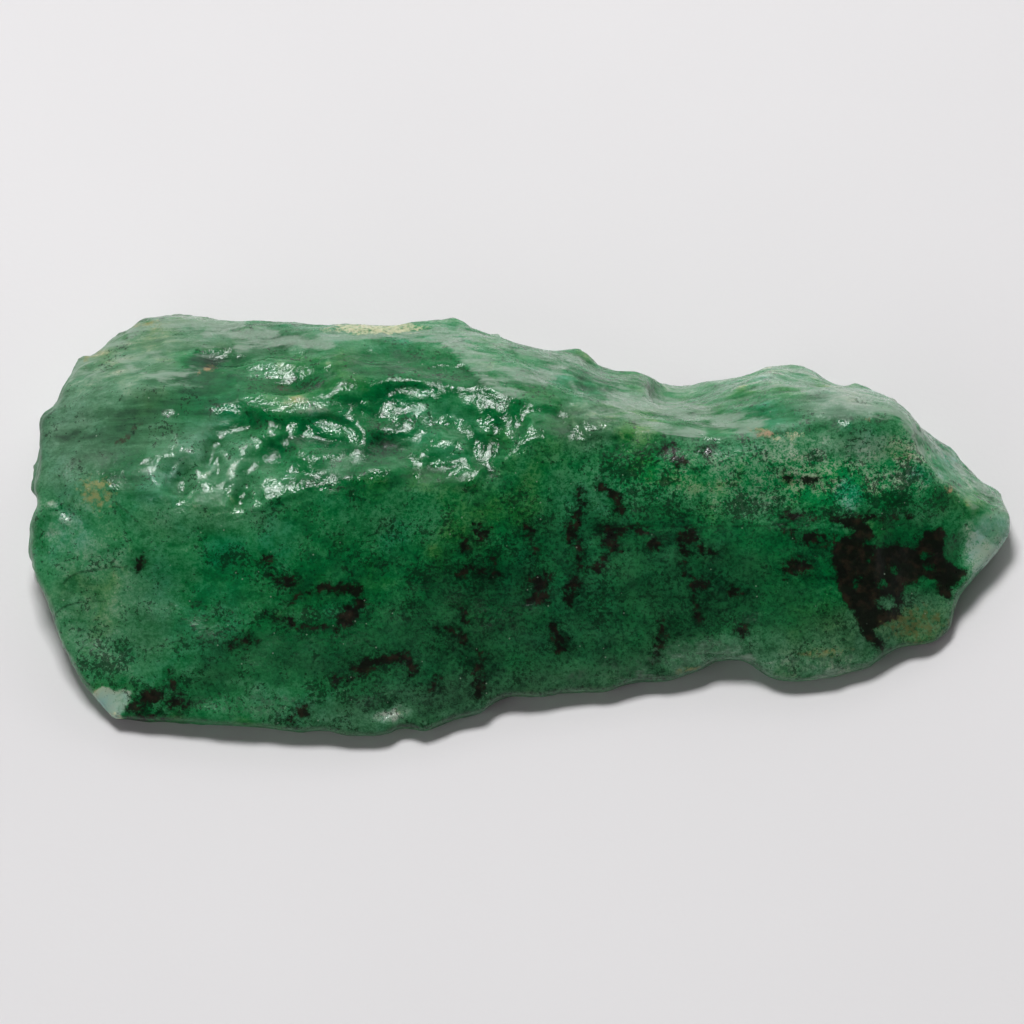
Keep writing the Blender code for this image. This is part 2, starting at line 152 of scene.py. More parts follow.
def shells(points, size, seed, lean):
    """Height of shallow shell-shaped breaks of this size that meet in sharp ridges."""
    distance, offset, cell = cells(points / size, seed)
    slope = np.stack([lattice(cell, seed + 31 + k) for k in range(3)], axis=1) * 2.0 - 1.0
    return (distance ** 2 * 0.9 + (offset * slope).sum(axis=1) * lean) * np.mean(size)


def ramp(value, low, high):
    """0 below low, 1 above high, smooth between."""
    share = np.clip((value - low) / (high - low), 0.0, 1.0)
    return share * share * (3.0 - 2.0 * share)


# ---------------------------------------------------------------- the photograph's view

def to_pixels(points):
    """World points to photograph pixels."""
    away = points - CAMERA_AIM
    scale = CAMERA_DISTANCE / (CAMERA_DISTANCE - away @ TOWARD_CAMERA) / PIXEL
    x = PHOTO_SIZE / 2 + (away @ CAMERA_RIGHT) * scale
    y = PHOTO_SIZE / 2 - (away @ CAMERA_UP) * scale
    return x, y


def facing_camera(normals):
    """1 where the surface faces the camera, 0 where it faces away."""
    return ramp(normals @ TOWARD_CAMERA, 0.02, 0.14)


def add_camera():
    data = bpy.data.cameras.new("photo_camera")
    data.sensor_width = SENSOR_MM
    data.lens = SENSOR_MM * CAMERA_DISTANCE / (PIXEL * PHOTO_SIZE)
    data.clip_end = CLIP_END
    camera = bpy.data.objects.new("photo_camera", data)
    camera.location = CAMERA_AIM + TOWARD_CAMERA * CAMERA_DISTANCE
    camera.rotation_euler = (math.pi / 2 - CAMERA_ELEVATION, 0.0, 0.0)
    bpy.context.scene.collection.objects.link(camera)
    bpy.context.scene.camera = camera


# ---------------------------------------------------------------- mesh helpers

def read_rows(items, name, width, kind=float):
    """One property of a mesh's vertices or edges, with a row for each of them."""
    flat = np.empty(len(items) * width, dtype=kind)
    items.foreach_get(name, flat)
    return flat.reshape(-1, width)


def mesh_points(mesh):
    return read_rows(mesh.vertices, "co", 3)


def mesh_normals(mesh):
    return read_rows(mesh.vertex_normals, "vector", 3)


def mesh_edges(mesh):
    return read_rows(mesh.edges, "vertices", 2, np.int64)


def move_points(mesh, points):
    mesh.vertices.foreach_set("co", points.ravel())
    mesh.update()


def on_paper(points):
    """The points, with none of them below the paper."""
    points[:, 2] = np.maximum(points[:, 2], 0.0)
    return points


def spread(values, edges, rounds, share=0.6):
    """Values evened out over neighbouring vertices."""
    values = np.array(values, dtype=float)
    flat = values.reshape(len(values), -1)
    both = np.concatenate((edges, edges[:, ::-1]))
    count = np.bincount(both[:, 0], minlength=len(flat))[:, None]
    for _ in range(rounds):
        total = np.stack([np.bincount(both[:, 0], weights=flat[both[:, 1], k],
                                      minlength=len(flat)) for k in range(flat.shape[1])], axis=1)
        flat = flat * (1.0 - share) + total / count * share
    return flat.reshape(values.shape)


def apply_modifiers(obj):
    """Give the object its evaluated mesh."""
    graph = bpy.context.evaluated_depsgraph_get()
    mesh = bpy.data.meshes.new_from_object(obj.evaluated_get(graph))
    obj.modifiers.clear()
    obj.data = mesh
    return mesh


# ---------------------------------------------------------------- regions of the seen side

# The ridge between the broad front face below it and the broken top and back slope above it.
RIDGE_PX = ((20, 500), (110, 492), (150, 497), (230, 515), (260, 510), (290, 497), (330, 485),
            (380, 478), (420, 487), (470, 490), (485, 474), (510, 458), (533, 443), (560, 438),
            (590, 440), (625, 437), (680, 428), (720, 441), (760, 432), (840, 418), (890, 414),
            (915, 440), (940, 475), (965, 505), (975, 527), (1020, 570))
# The back slope and the top strip beside it, above and to the right of the crest.
SLOPE_PX = ((170, 290), (205, 336), (260, 344), (330, 352), (400, 345), (449, 350), (471, 369),
            (488, 384), (505, 395), (535, 405), (567, 412), (600, 427), (616, 431), (660, 470),
            (1060, 640), (1060, 290))
# The dull hump at the left end: strength and ellipse.
HUMP_PX = (
    (1.0, 125, 372, 95, 50, -14), (1.0, 130, 418, 100, 32, 14),
)
# The glassy top fades in from left to right between these two values of x.
GLASSY_FROM_PX = (60, 130)
# How far the regions' borders wander, and how soft they are.
BORDER_WANDER_PX = 8.0
RIDGE_SOFT_PX = 5.0
SLOPE_SOFT_PX = 6.0
FAR_LINE_PX = 1e6


def radii(x, y, centre_x, centre_y, half_x, half_y, turn=0.0):
    """Distance from an ellipse's centre, counted in its own radii."""
    angle = math.radians(turn)
    across = (x - centre_x) * math.cos(angle) - (y - centre_y) * math.sin(angle)
    upward = (x - centre_x) * math.sin(angle) + (y - centre_y) * math.cos(angle)
    return np.hypot(across / half_x, upward / half_y)


def blob(x, y, shape, soft):
    """1 inside an ellipse, 0 outside, with a soft border."""
    return 1.0 - ramp(radii(x, y, *shape), 1.0 - soft, 1.0 + soft)


def patches(x, y, rows, soft):
    """The strongest patch at each point.  Each row: strength and ellipse."""
    strongest = np.zeros(len(x))
    for strength, *shape in rows:
        strongest = np.maximum(strongest, strength * blob(x, y, shape, soft))
    return strongest


def to_line(x, y, line):
    """Distance in pixels to a line through the given places."""
    best = np.full(len(x), FAR_LINE_PX)
    for (x0, y0), (x1, y1) in zip(line[:-1], line[1:]):
        span_x = x1 - x0
        span_y = y1 - y0
        along = ((x - x0) * span_x + (y - y0) * span_y) / (span_x ** 2 + span_y ** 2)
        along = np.clip(along, 0.0, 1.0)
        best = np.minimum(best, np.hypot(x - x0 - along * span_x, y - y0 - along * span_y))
    return best


def inside(x, y, outline):
    """Whether each place is within a closed outline."""
    odd = np.zeros(len(x), dtype=bool)
    for (x0, y0), (x1, y1) in zip(outline, outline[1:] + outline[:1]):
        if y0 == y1:
            continue
        crossing = x0 + (y - y0) * (x1 - x0) / (y1 - y0)
        odd ^= ((y0 > y) != (y1 > y)) & (x < crossing)
    return odd


def regions(points, normals):
    """How far each point belongs to each region of the seen side."""
    x, y = to_pixels(points)
    seen = facing_camera(normals) * ramp(points[:, 2], 0.1 * MM, 0.5 * MM)
    drift = cloud_noise(points / (5.0 * MM), seed=11, octaves=3) * BORDER_WANDER_PX
    ridge_y = np.interp(x, [p[0] for p in RIDGE_PX], [p[1] for p in RIDGE_PX])
    above = ramp(ridge_y - y + drift * 0.4, -RIDGE_SOFT_PX, RIDGE_SOFT_PX)
    hump = patches(x, y, HUMP_PX, soft=0.4)
    to_slope = to_line(x, y, SLOPE_PX + SLOPE_PX[:1])
    to_slope = np.where(inside(x, y, SLOPE_PX), to_slope, -to_slope)
    slope = above * ramp(to_slope + drift * 0.4, -SLOPE_SOFT_PX, SLOPE_SOFT_PX)
    glassy = (above - slope) * ramp(x + drift, *GLASSY_FROM_PX)
    glassy = np.clip(glassy - hump * 0.85, 0.0, 1.0)
    return {"x": x, "y": y, "all": np.ones(len(x)), "seen": seen, "hidden": 1.0 - seen,
            "above": above * seen, "front": (1.0 - above) * seen, "glassy": glassy * seen,
            "slope": slope * seen, "hump": hump * above * seen}


def by_region(place, shares):
    """Sum over the regions of what each one adds."""
    return sum(share * place[region] for region, share in shares.items())


# ---------------------------------------------------------------- skin relief

# Small flat breaks that catch the key light, as ellipses.
GLINTS_PX = (
    (266, 370, 26, 10, 4), (296, 352, 11, 7, 0), (302, 376, 6, 4, 0), (228, 409, 21, 6, 4),
    (262, 399, 20, 6, 0), (300, 405, 29, 8, -4), (330, 428, 24, 10, -12), (354, 438, 13, 6, -34),
    (308, 431, 4, 9, 0), (291, 427, 7, 6, 0), (256, 444, 5, 8, 24), (175, 446, 3, 10, -10),
    (174, 471, 4, 14, -28), (154, 478, 2, 9, 20), (199, 485, 4, 23, -40), (209, 488, 4, 5, 0),
    (226, 455, 10, 3, -24), (233, 470, 3, 12, -24), (230, 491, 3, 9, 0), (154, 499, 9, 2, -14),
    (188, 505, 13, 2, 6), (216, 512, 12, 2, -10), (234, 513, 7, 4, 0), (257, 505, 7, 7, -30),
    (270, 484, 11, 5, 14), (288, 479, 9, 3, 10), (257, 492, 5, 6, 0), (281, 497, 5, 5, 0),
    (297, 490, 10, 4, 10), (322, 489, 4, 3, 0), (340, 483, 9, 2, 8), (372, 478, 20, 4, 2),
    (392, 417, 4, 12, 30), (420, 395, 17, 4, 18), (364, 404, 7, 3, -20), (402, 403, 4, 3, 0),
    (417, 476, 5, 3, 0), (437, 462, 7, 4, 30), (453, 474, 8, 3, 0),
    (476, 449, 6, 10, -30), (486, 424, 8, 14, -10), (495, 450, 3, 7, 0), (506, 432, 3, 8, -24),
    (530, 432, 4, 10, -16), (516, 453, 17, 2, 32), (579, 432, 4, 11, 28), (610, 430, 18, 2, -28),
    (456, 422, 2, 12, 10), (443, 424, 2, 6, 10), (328, 367, 4, 7, 20), (50, 536, 8, 4, 0),
    (66, 518, 8, 7, 0), (54, 506, 8, 5, 0), (168, 414, 4, 3, 0), (392, 715, 14, 5, 6),
    (772, 397, 7, 3, 0), (845, 421, 7, 3, 0), (706, 436, 15, 1.5, -20), (708, 452, 3, 3, 0),
)
GLINT_TURN = 0.05             # spread of the chance turns away from the mirror direction
GLINT_SEED = 5

# Crests (+) and grooves (-) of the broken top.  Each row: height in mm, half width in pixels, and
# the line they follow.
CREASES_PX = (
    (0.25, 7, ((449, 348), (471, 369), (488, 384), (505, 395), (535, 405), (567, 412), (600, 427),
               (616, 431), (640, 440))),
    (0.22, 6, ((560, 366), (575, 385), (588, 405), (600, 424), (618, 430))),
    (0.14, 5, ((578, 362), (592, 382), (606, 402), (626, 424))),
    (0.09, 5, ((700, 384), (740, 390), (790, 392), (840, 404))),
    (0.18, 7, ((830, 386), (862, 398), (902, 416))),
    (0.16, 6, ((904, 424), (930, 452), (958, 492), (974, 518))),
    (0.29, 5, ((158, 490), (170, 470), (184, 450))),
    (0.29, 5, ((192, 502), (206, 478), (220, 456))),
    (0.29, 5, ((226, 508), (238, 480), (224, 452))),
    (0.22, 5, ((150, 500), (195, 506), (236, 514), (262, 508))),
    (0.25, 6, ((262, 505), (290, 492), (330, 485), (380, 478), (410, 486))),
    (0.29, 6, ((470, 492), (486, 455), (490, 430), (478, 408))),
    (0.29, 6, ((500, 462), (520, 455), (534, 443), (530, 420))),
    (0.22, 6, ((200, 402), (235, 404), (264, 410))),
    (0.29, 7, ((246, 394), (280, 402), (318, 402), (334, 396))),
    (0.22, 8, ((300, 424), (330, 410), (352, 424), (368, 438))),
    (0.22, 6, ((236, 378), (268, 370), (300, 372))),
    (0.18, 6, ((392, 406), (402, 396), (430, 390))),
    (0.22, 6, ((244, 458), (254, 440), (268, 432))),
    (-0.19, 7, ((186, 370), (205, 362), (222, 356), (256, 350))),
    (-0.14, 8, ((330, 398), (364, 404), (378, 424), (392, 442), (412, 454))),
    (-0.26, 7, ((262, 446), (284, 441), (303, 437), (330, 446))),
    (-0.16, 7, ((290, 388), (318, 386), (346, 400))),
    (-0.19, 8, ((350, 470), (420, 462), (452, 452))),
    (-0.16, 6, ((560, 440), (576, 424), (570, 414))),
    (-0.13, 6, ((500, 404), (540, 416), (560, 420))),
    (-0.11, 6, ((640, 424), (672, 430), (720, 420))),
)

# Swellings (+) and dishes (-) of the broken top.  Each row: height in mm and ellipse.
SWELLS_PX = (
    (0.28, 333, 380, 22, 20, 0), (-0.20, 426, 430, 24, 24, 0), (-0.12, 215, 432, 46, 14, 6),
    (0.21, 350, 462, 60, 12, 2), (-0.21, 510, 430, 14, 18, 20), (0.15, 130, 470, 16, 24, 0),
    (-0.18, 262, 460, 26, 14, 0), (0.18, 300, 345, 60, 10, 4), (-0.15, 450, 395, 40, 12, -10),
    (-0.18, 592, 380, 14, 12, -20), (-0.15, 690, 412, 46, 10, -6), (0.18, 480, 350, 40, 12, -30),
)

# Heights in mm of the skin's patterns in each region.
RELIEF = {
    "glassy": {"wide": 0.07, "small": 0.10, "flow": 0.05},
    "front": {"wave": 0.18, "grit": 0.03},
    "slope": {"ripple": 0.20, "flow": 0.16, "small": 0.04},
    "hump": {"ripple": 0.10, "flow": 0.12, "small": 0.07},
    "hidden": {"wide": 0.26, "small": 0.16, "flow": 0.06},
}
WIDE_SHELLS_MM = np.array((9.5, 6.0, 6.0))
SMALL_SHELLS_MM = np.array((2.4, 1.7, 1.7))
# Features for each mm along x, y and z: both are drawn out along the stone.
FLOW_GRAIN = np.array((0.14, 0.75, 0.75))
RIPPLE_GRAIN = np.array((0.10, 0.34, 0.34))


def facet_onto(points, normals, weight, direction, limit):
    """Points moved out or in along their normals onto one plane that faces direction."""
    total = weight.sum()
    if total < 1e-6:
        return points
    centre = (points * weight[:, None]).sum(axis=0) / total
    facing = (normals * weight[:, None]).sum(axis=0)
    facing /= np.linalg.norm(facing)
    height = -((points - centre) @ direction) / max(facing @ direction, 0.5)
    return points + facing * (np.clip(height, -limit, limit) * weight)[:, None]


def half_vector():
    """Normal of a facet that mirrors the key light into the camera."""
    middle = TOWARD_CAMERA + KEY_DIRECTION / np.linalg.norm(KEY_DIRECTION)
    return middle / np.linalg.norm(middle)


def glint_weights(points, normals):
    """For each small break, how far each point belongs to it and how far it may move, in mm."""
    x, y = to_pixels(points)
    seen = facing_camera(normals)
    wander_x, wander_y = wander(points, size=1.2 * MM, seed=21, reach=5.0)
    for shape in GLINTS_PX:
        weight = seen * blob(x + wander_x, y + wander_y, shape, soft=0.3)
        yield weight, 0.08 + 0.02 * min(shape[2:4])


def cut_glints(mesh):
    """The points with the known small breaks turned toward the key light."""
    points = mesh_points(mesh)
    normals = mesh_normals(mesh)
    chance = np.random.default_rng(GLINT_SEED)
    for weight, limit in list(glint_weights(points, normals)):
        direction = half_vector() + chance.normal(0.0, GLINT_TURN, 3)
        direction /= np.linalg.norm(direction)
        points = facet_onto(points, normals, weight, direction, limit * MM)
    return points


def roughen(mesh):
    """The points broken up: shell-shaped breaks on the glassy top, soft flow lines elsewhere."""
    points = mesh_points(mesh)
    normals = mesh_normals(mesh)
    place = regions(points, normals)
    base = 1.0 - ramp(points[:, 2], 0.2 * MM, 1.6 * MM)
    place["hidden"] = (1.0 - place["seen"]) * (1.0 - base)
    p = points / MM
    warp = np.stack([cloud_noise(p / 5.0, seed=60 + k, octaves=3) for k in range(3)], axis=1) * 2.4
    patterns = {
        "wide": shells(p + warp, WIDE_SHELLS_MM, seed=3, lean=0.22),
        "small": shells(p + warp * 0.6, SMALL_SHELLS_MM, seed=4, lean=0.30),
        "flow": cloud_noise((p + warp * 0.8) * FLOW_GRAIN, seed=12, octaves=4),
        "ripple": cloud_noise((p + warp) * RIPPLE_GRAIN, seed=7, octaves=3),
        "wave": cloud_noise(p / 9.0, seed=8, octaves=3),
        "grit": cloud_noise(p / 1.6, seed=9, octaves=3),
    }
    height = np.zeros(len(points))
    for region, heights in RELIEF.items():
        height += place[region] * by_region(patterns, heights)
    wander_x, wander_y = wander(points, size=3.0 * MM, seed=23, reach=5.0)
    x = place["x"] + wander_x
    y = place["y"] + wander_y
    for rise, width, line in CREASES_PX:
        height += place["above"] * rise * np.exp(-to_line(x, y, line) / width)
    for rise, *shape in SWELLS_PX:
        height += place["above"] * rise * blob(x, y, shape, soft=0.7)
    height *= (1.0 - base) * (0.25 + 0.75 * ramp(np.abs(normals @ TOWARD_CAMERA), 0.05, 0.35))
    return points + normals * (height * MM)[:, None]


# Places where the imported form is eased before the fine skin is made: share and ellipse.
EASED_PX = (
    (0.95, 170, 416, 84, 30, 18), (0.9, 392, 672, 60, 26, 0), (0.8, 318, 632, 44, 18, 0),
    (0.8, 54, 540, 26, 24, 0), (0.25, 420, 420, 50, 30, 0),
)
EASED_ROUNDS = 14
JOIN_DISTANCE = 0.001 * MM


def ease(mesh):
    """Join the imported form's mesh up and smooth it a little in the eased places."""
    work = bmesh.new()
    work.from_mesh(mesh)
    bmesh.ops.remove_doubles(work, verts=work.verts, dist=JOIN_DISTANCE)
    work.to_mesh(mesh)
    work.free()
    mesh.update()
    points = mesh_points(mesh)
    place = regions(points, mesh_normals(mesh))
    smooth = spread(points, mesh_edges(mesh), EASED_ROUNDS)
    share = patches(place["x"], place["y"], EASED_PX, soft=0.5) * place["seen"]
    move_points(mesh, points + (smooth - points) * share[:, None])


def thin_out(skin):
    """Thin the skin to its triangles, and the flat underside first, so the seen side keeps more."""
    mesh = skin.data
    under = skin.vertex_groups.new(name="under")
    low = np.flatnonzero(mesh_points(mesh)[:, 2] < BASE_BAND)
    under.add([int(index) for index in low], 1.0, "REPLACE")
    for group in (under.name, ""):
        triangles = sum(len(face.vertices) - 2 for face in mesh.polygons)
        if triangles > SKIN_TRIANGLES:
            thin = skin.modifiers.new("thin", "DECIMATE")
            thin.ratio = SKIN_TRIANGLES / triangles
            thin.vertex_group = group
            thin.vertex_group_factor = 1.0
            mesh = apply_modifiers(skin)
    return mesh


def make_skin(node):
    """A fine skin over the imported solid, the same stone with its small breaks cut in."""
    skin = bpy.data.objects.new("fluorite_skin", node.data.copy())
    bpy.context.scene.collection.objects.link(skin)
    ease(skin.data)
    remesh = skin.modifiers.new("fine", "REMESH")
    remesh.mode = "VOXEL"
    remesh.voxel_size = SKIN_VOXEL
    remesh.use_smooth_shade = True
    mesh = apply_modifiers(skin)
    move_points(mesh, spread(mesh_points(mesh), mesh_edges(mesh), SKIN_ROUNDS))
    move_points(mesh, on_paper(roughen(mesh)))
    move_points(mesh, cut_glints(mesh))
    move_points(mesh, on_paper(spread(mesh_points(mesh), mesh_edges(mesh), rounds=1, share=0.5)))
    mesh = thin_out(skin)
    move_points(mesh, on_paper(mesh_points(mesh)))
    mesh.polygons.foreach_set("use_smooth", np.ones(len(mesh.polygons), dtype=bool))
    mesh.name = "fluorite_skin"
    return skin


# ---------------------------------------------------------------- colour of the stone, with painted light and shade

def srgb(red, green, blue):
    """A colour seen on a screen, 0..255, as linear light."""
    value = np.array((red, green, blue)) / 255.0
    return np.where(value <= 0.04045, value / 12.92, ((value + 0.055) / 1.055) ** 2.4)


# The green body from its deepest tone to its milkiest, by tone 0..1.
BODY_TONES = (
    (0.00, srgb(0, 20, 8)),
    (0.22, srgb(0, 48, 24)),
    (0.42, srgb(0, 80, 40)),
    (0.60, srgb(14, 108, 55)),
    (0.78, srgb(60, 136, 88)),
    (0.90, srgb(110, 156, 120)),
    (1.00, srgb(164, 184, 160)),
)
MATRIX_DARK = srgb(15, 14, 11)
MATRIX_BROWN = srgb(42, 32, 24)
SPECK_GREEN = srgb(5, 32, 16)
BLUE_SHIFT = np.array((0.70, 1.06, 1.30))
OLIVE_SHIFT = np.array((1.75, 0.98, 0.62))
CREAM = srgb(206, 204, 166)
BEIGE = srgb(142, 142, 92)
RUST = srgb(170, 140, 106)
MUD = srgb(52, 44, 32)
GREY_GREEN = srgb(66, 98, 76)
OLIVE = srgb(98, 100, 58)
# Grey of the painted sheen.
SHEEN_GREY = srgb(142, 163, 146)
# Grey of the tiny dots of painted sparkle.
SPARKLE_GREY = srgb(150, 170, 150)

# Tone of the body.  Each row: tone, ellipse, share and softness of the border.
TONES_PX = (
    # broad front face: milky left end, deep centre, lighter band under the ridge
    (0.66, 120, 580, 110, 110, 0, 0.8, 0.6), (0.44, 420, 600, 200, 80, 4, 0.8, 0.6),
    (0.34, 620, 590, 150, 80, 4, 0.8, 0.6), (0.42, 760, 590, 80, 50, 0, 0.7, 0.6),
    (0.70, 760, 478, 135, 38, 3, 0.9, 0.4), (0.80, 800, 446, 34, 14, 0, 0.8, 0.6),
    (0.80, 830, 478, 46, 16, 0, 0.9, 0.6), (0.79, 846, 496, 13, 18, 0, 0.9, 0.4),
    (0.62, 880, 520, 70, 16, 0, 0.7, 0.5), (0.30, 600, 528, 30, 40, 0, 0.7, 0.5),
    (0.50, 596, 550, 13, 14, 0, 0.9, 0.4), (0.52, 600, 505, 12, 10, 0, 0.8, 0.5),
    (0.30, 735, 590, 30, 30, 0, 0.6, 0.6), (0.58, 580, 480, 80, 36, 0, 0.5, 0.5),
    (0.56, 330, 525, 150, 24, 4, 0.7, 0.6), (0.62, 120, 590, 60, 26, 8, 0.5, 0.6),
    (0.66, 128, 622, 14, 18, 0, 0.5, 0.7), (0.68, 130, 662, 10, 12, 0, 0.5, 0.7),
    (0.60, 240, 520, 70, 16, -10, 0.5, 0.7), (0.40, 140, 558, 14, 14, 0, 0.7, 0.6),
    (0.38, 232, 574, 16, 22, 0, 0.5, 0.7), (0.64, 265, 702, 46, 20, 10, 0.7, 0.6),
    (0.44, 330, 540, 60, 24, 0, 0.5, 0.7), (0.50, 400, 560, 46, 30, 0, 0.4, 0.7),
    (0.26, 430, 670, 110, 40, 6, 0.6, 0.6), (0.46, 645, 575, 40, 26, 0, 0.5, 0.7),
    (0.24, 520, 650, 60, 40, 0, 0.6, 0.6), (0.24, 690, 600, 60, 44, 0, 0.6, 0.6),
    (0.60, 706, 650, 46, 14, 6, 0.8, 0.5), (0.54, 320, 616, 28, 8, 8, 0.9, 0.4),
    (0.60, 166, 688, 7, 7, 0, 0.9, 0.4), (0.36, 600, 665, 60, 14, 8, 0.6, 0.6),
    (0.30, 540, 680, 60, 14, 8, 0.6, 0.6), (0.22, 430, 700, 70, 16, 8, 0.7, 0.6),
    (0.26, 516, 630, 30, 30, 0, 0.6, 0.6), (0.52, 800, 645, 70, 22, 4, 0.6, 0.6),
    (0.34, 760, 545, 60, 18, 0, 0.6, 0.5), (0.32, 900, 560, 80, 40, 0, 0.6, 0.5),
    (0.44, 176, 628, 44, 24, 0, 0.7, 0.6), (0.28, 285, 655, 50, 22, 0, 0.6, 0.6),
    (0.46, 156, 662, 26, 12, 0, 0.6, 0.6), (0.52, 50, 590, 16, 24, 0, 0.6, 0.6),
    (0.68, 112, 664, 16, 14, 0, 0.5, 0.6), (0.22, 444, 595, 40, 30, 0, 0.6, 0.6),
    (0.24, 520, 610, 60, 34, 0, 0.6, 0.6), (0.34, 600, 610, 60, 34, 0, 0.6, 0.6),
    (0.30, 516, 655, 50, 20, 0, 0.5, 0.6), (0.36, 804, 624, 50, 18, 0, 0.6, 0.6),
    (0.76, 812, 664, 60, 12, 0, 0.7, 0.6), (0.44, 52, 555, 24, 40, 0, 0.7, 0.6),
    (0.74, 886, 460, 34, 30, 0, 0.8, 0.5), (0.78, 914, 474, 24, 26, 0, 0.8, 0.5),
    (0.79, 880, 482, 40, 12, 0, 0.8, 0.6), (0.64, 600, 446, 26, 10, 0, 0.6, 0.6),
    (0.42, 404, 505, 60, 12, 0, 0.4, 0.6), (0.28, 320, 645, 80, 26, 0, 0.8, 0.6),
    (0.44, 160, 570, 24, 24, 0, 0.6, 0.6), (0.36, 232, 652, 30, 24, 0, 0.7, 0.6),
    (0.24, 516, 588, 44, 24, 0, 0.6, 0.6), (0.80, 48, 450, 14, 20, 0, 0.7, 0.6),
    (0.24, 470, 690, 30, 12, 0, 0.7, 0.6), (0.34, 580, 570, 44, 30, 0, 0.5, 0.6),
    # the tip and the pale corner; the row at (392, 714) is partly a painted highlight on a pale chip
    (0.87, 990, 545, 26, 38, -20, 0.97, 0.3), (0.92, 110, 702, 19, 14, 0, 0.95, 0.12),
    (0.97, 112, 716, 12, 6, 0, 0.9, 0.3), (0.94, 392, 714, 20, 8, 6, 0.8, 0.5),
    (0.48, 916, 622, 34, 18, 6, 0.9, 0.35), (0.62, 962, 590, 14, 26, -40, 0.8, 0.5),
    # left end, hump, glassy top
    (0.72, 66, 500, 36, 80, 0, 0.7, 0.6), (0.85, 130, 360, 76, 34, 20, 0.8, 0.5),
    (0.80, 90, 408, 44, 24, 10, 0.6, 0.6), (0.78, 205, 455, 90, 42, 6, 0.75, 0.5),
    (0.60, 350, 462, 70, 18, 0, 0.7, 0.5), (0.70, 430, 430, 40, 34, 0, 0.6, 0.6),
    (0.52, 186, 408, 26, 9, 16, 0.8, 0.5), (0.56, 285, 392, 60, 9, 0, 0.7, 0.6),
    (0.42, 388, 436, 26, 16, 20, 0.8, 0.5), (0.36, 288, 442, 16, 7, 14, 0.9, 0.4),
    (0.54, 508, 436, 20, 22, 20, 0.7, 0.5), (0.56, 345, 388, 30, 10, 0, 0.5, 0.6),
    (0.34, 205, 362, 18, 8, 8, 0.9, 0.5), (0.28, 120, 432, 22, 5, 12, 0.8, 0.6),
    (0.44, 78, 436, 22, 5, -6, 0.6, 0.6), (0.66, 250, 338, 80, 9, 4, 0.7, 0.6),
    (0.74, 155, 400, 20, 6, 24, 0.5, 0.6), (0.52, 158, 416, 60, 16, 18, 0.85, 0.5),
    (0.46, 124, 470, 24, 20, 0, 0.8, 0.6), (0.76, 84, 478, 16, 16, 0, 0.7, 0.6),
    (0.50, 340, 488, 44, 8, 6, 0.7, 0.6), (0.56, 446, 492, 34, 8, 0, 0.6, 0.6),
    # The rows at (444, 410) and (300, 405) are painted highlight where the glassy top catches the key
    # light.
    (0.50, 440, 484, 40, 10, 0, 0.7, 0.6), (0.82, 444, 410, 28, 13, 0, 0.8, 0.6),
    (0.88, 300, 405, 34, 10, 0, 0.8, 0.6), (0.40, 336, 484, 44, 10, 4, 0.7, 0.6),
    (0.50, 330, 450, 60, 14, 0, 0.6, 0.6), (0.56, 264, 408, 30, 10, 0, 0.5, 0.6),
    # back slope: its pale rows stand partly for painted sheen, where it mirrors the bright paper
    (0.84, 480, 345, 66, 16, -20, 0.7, 0.5), (0.86, 490, 368, 36, 10, -36, 0.6, 0.5),
    (0.62, 512, 392, 34, 12, -12, 0.6, 0.6), (0.52, 592, 384, 20, 14, -20, 0.8, 0.5),
    (0.66, 640, 382, 34, 9, -8, 0.5, 0.6), (0.64, 690, 410, 70, 16, -6, 0.8, 0.5),
    (0.74, 556, 412, 34, 12, 0, 0.6, 0.6), (0.88, 770, 374, 60, 11, 0, 0.8, 0.4),
    (0.66, 806, 398, 20, 10, 0, 0.7, 0.5), (0.92, 860, 398, 36, 13, -16, 0.8, 0.5),
    (0.82, 945, 465, 52, 14, -48, 0.85, 0.4),
)

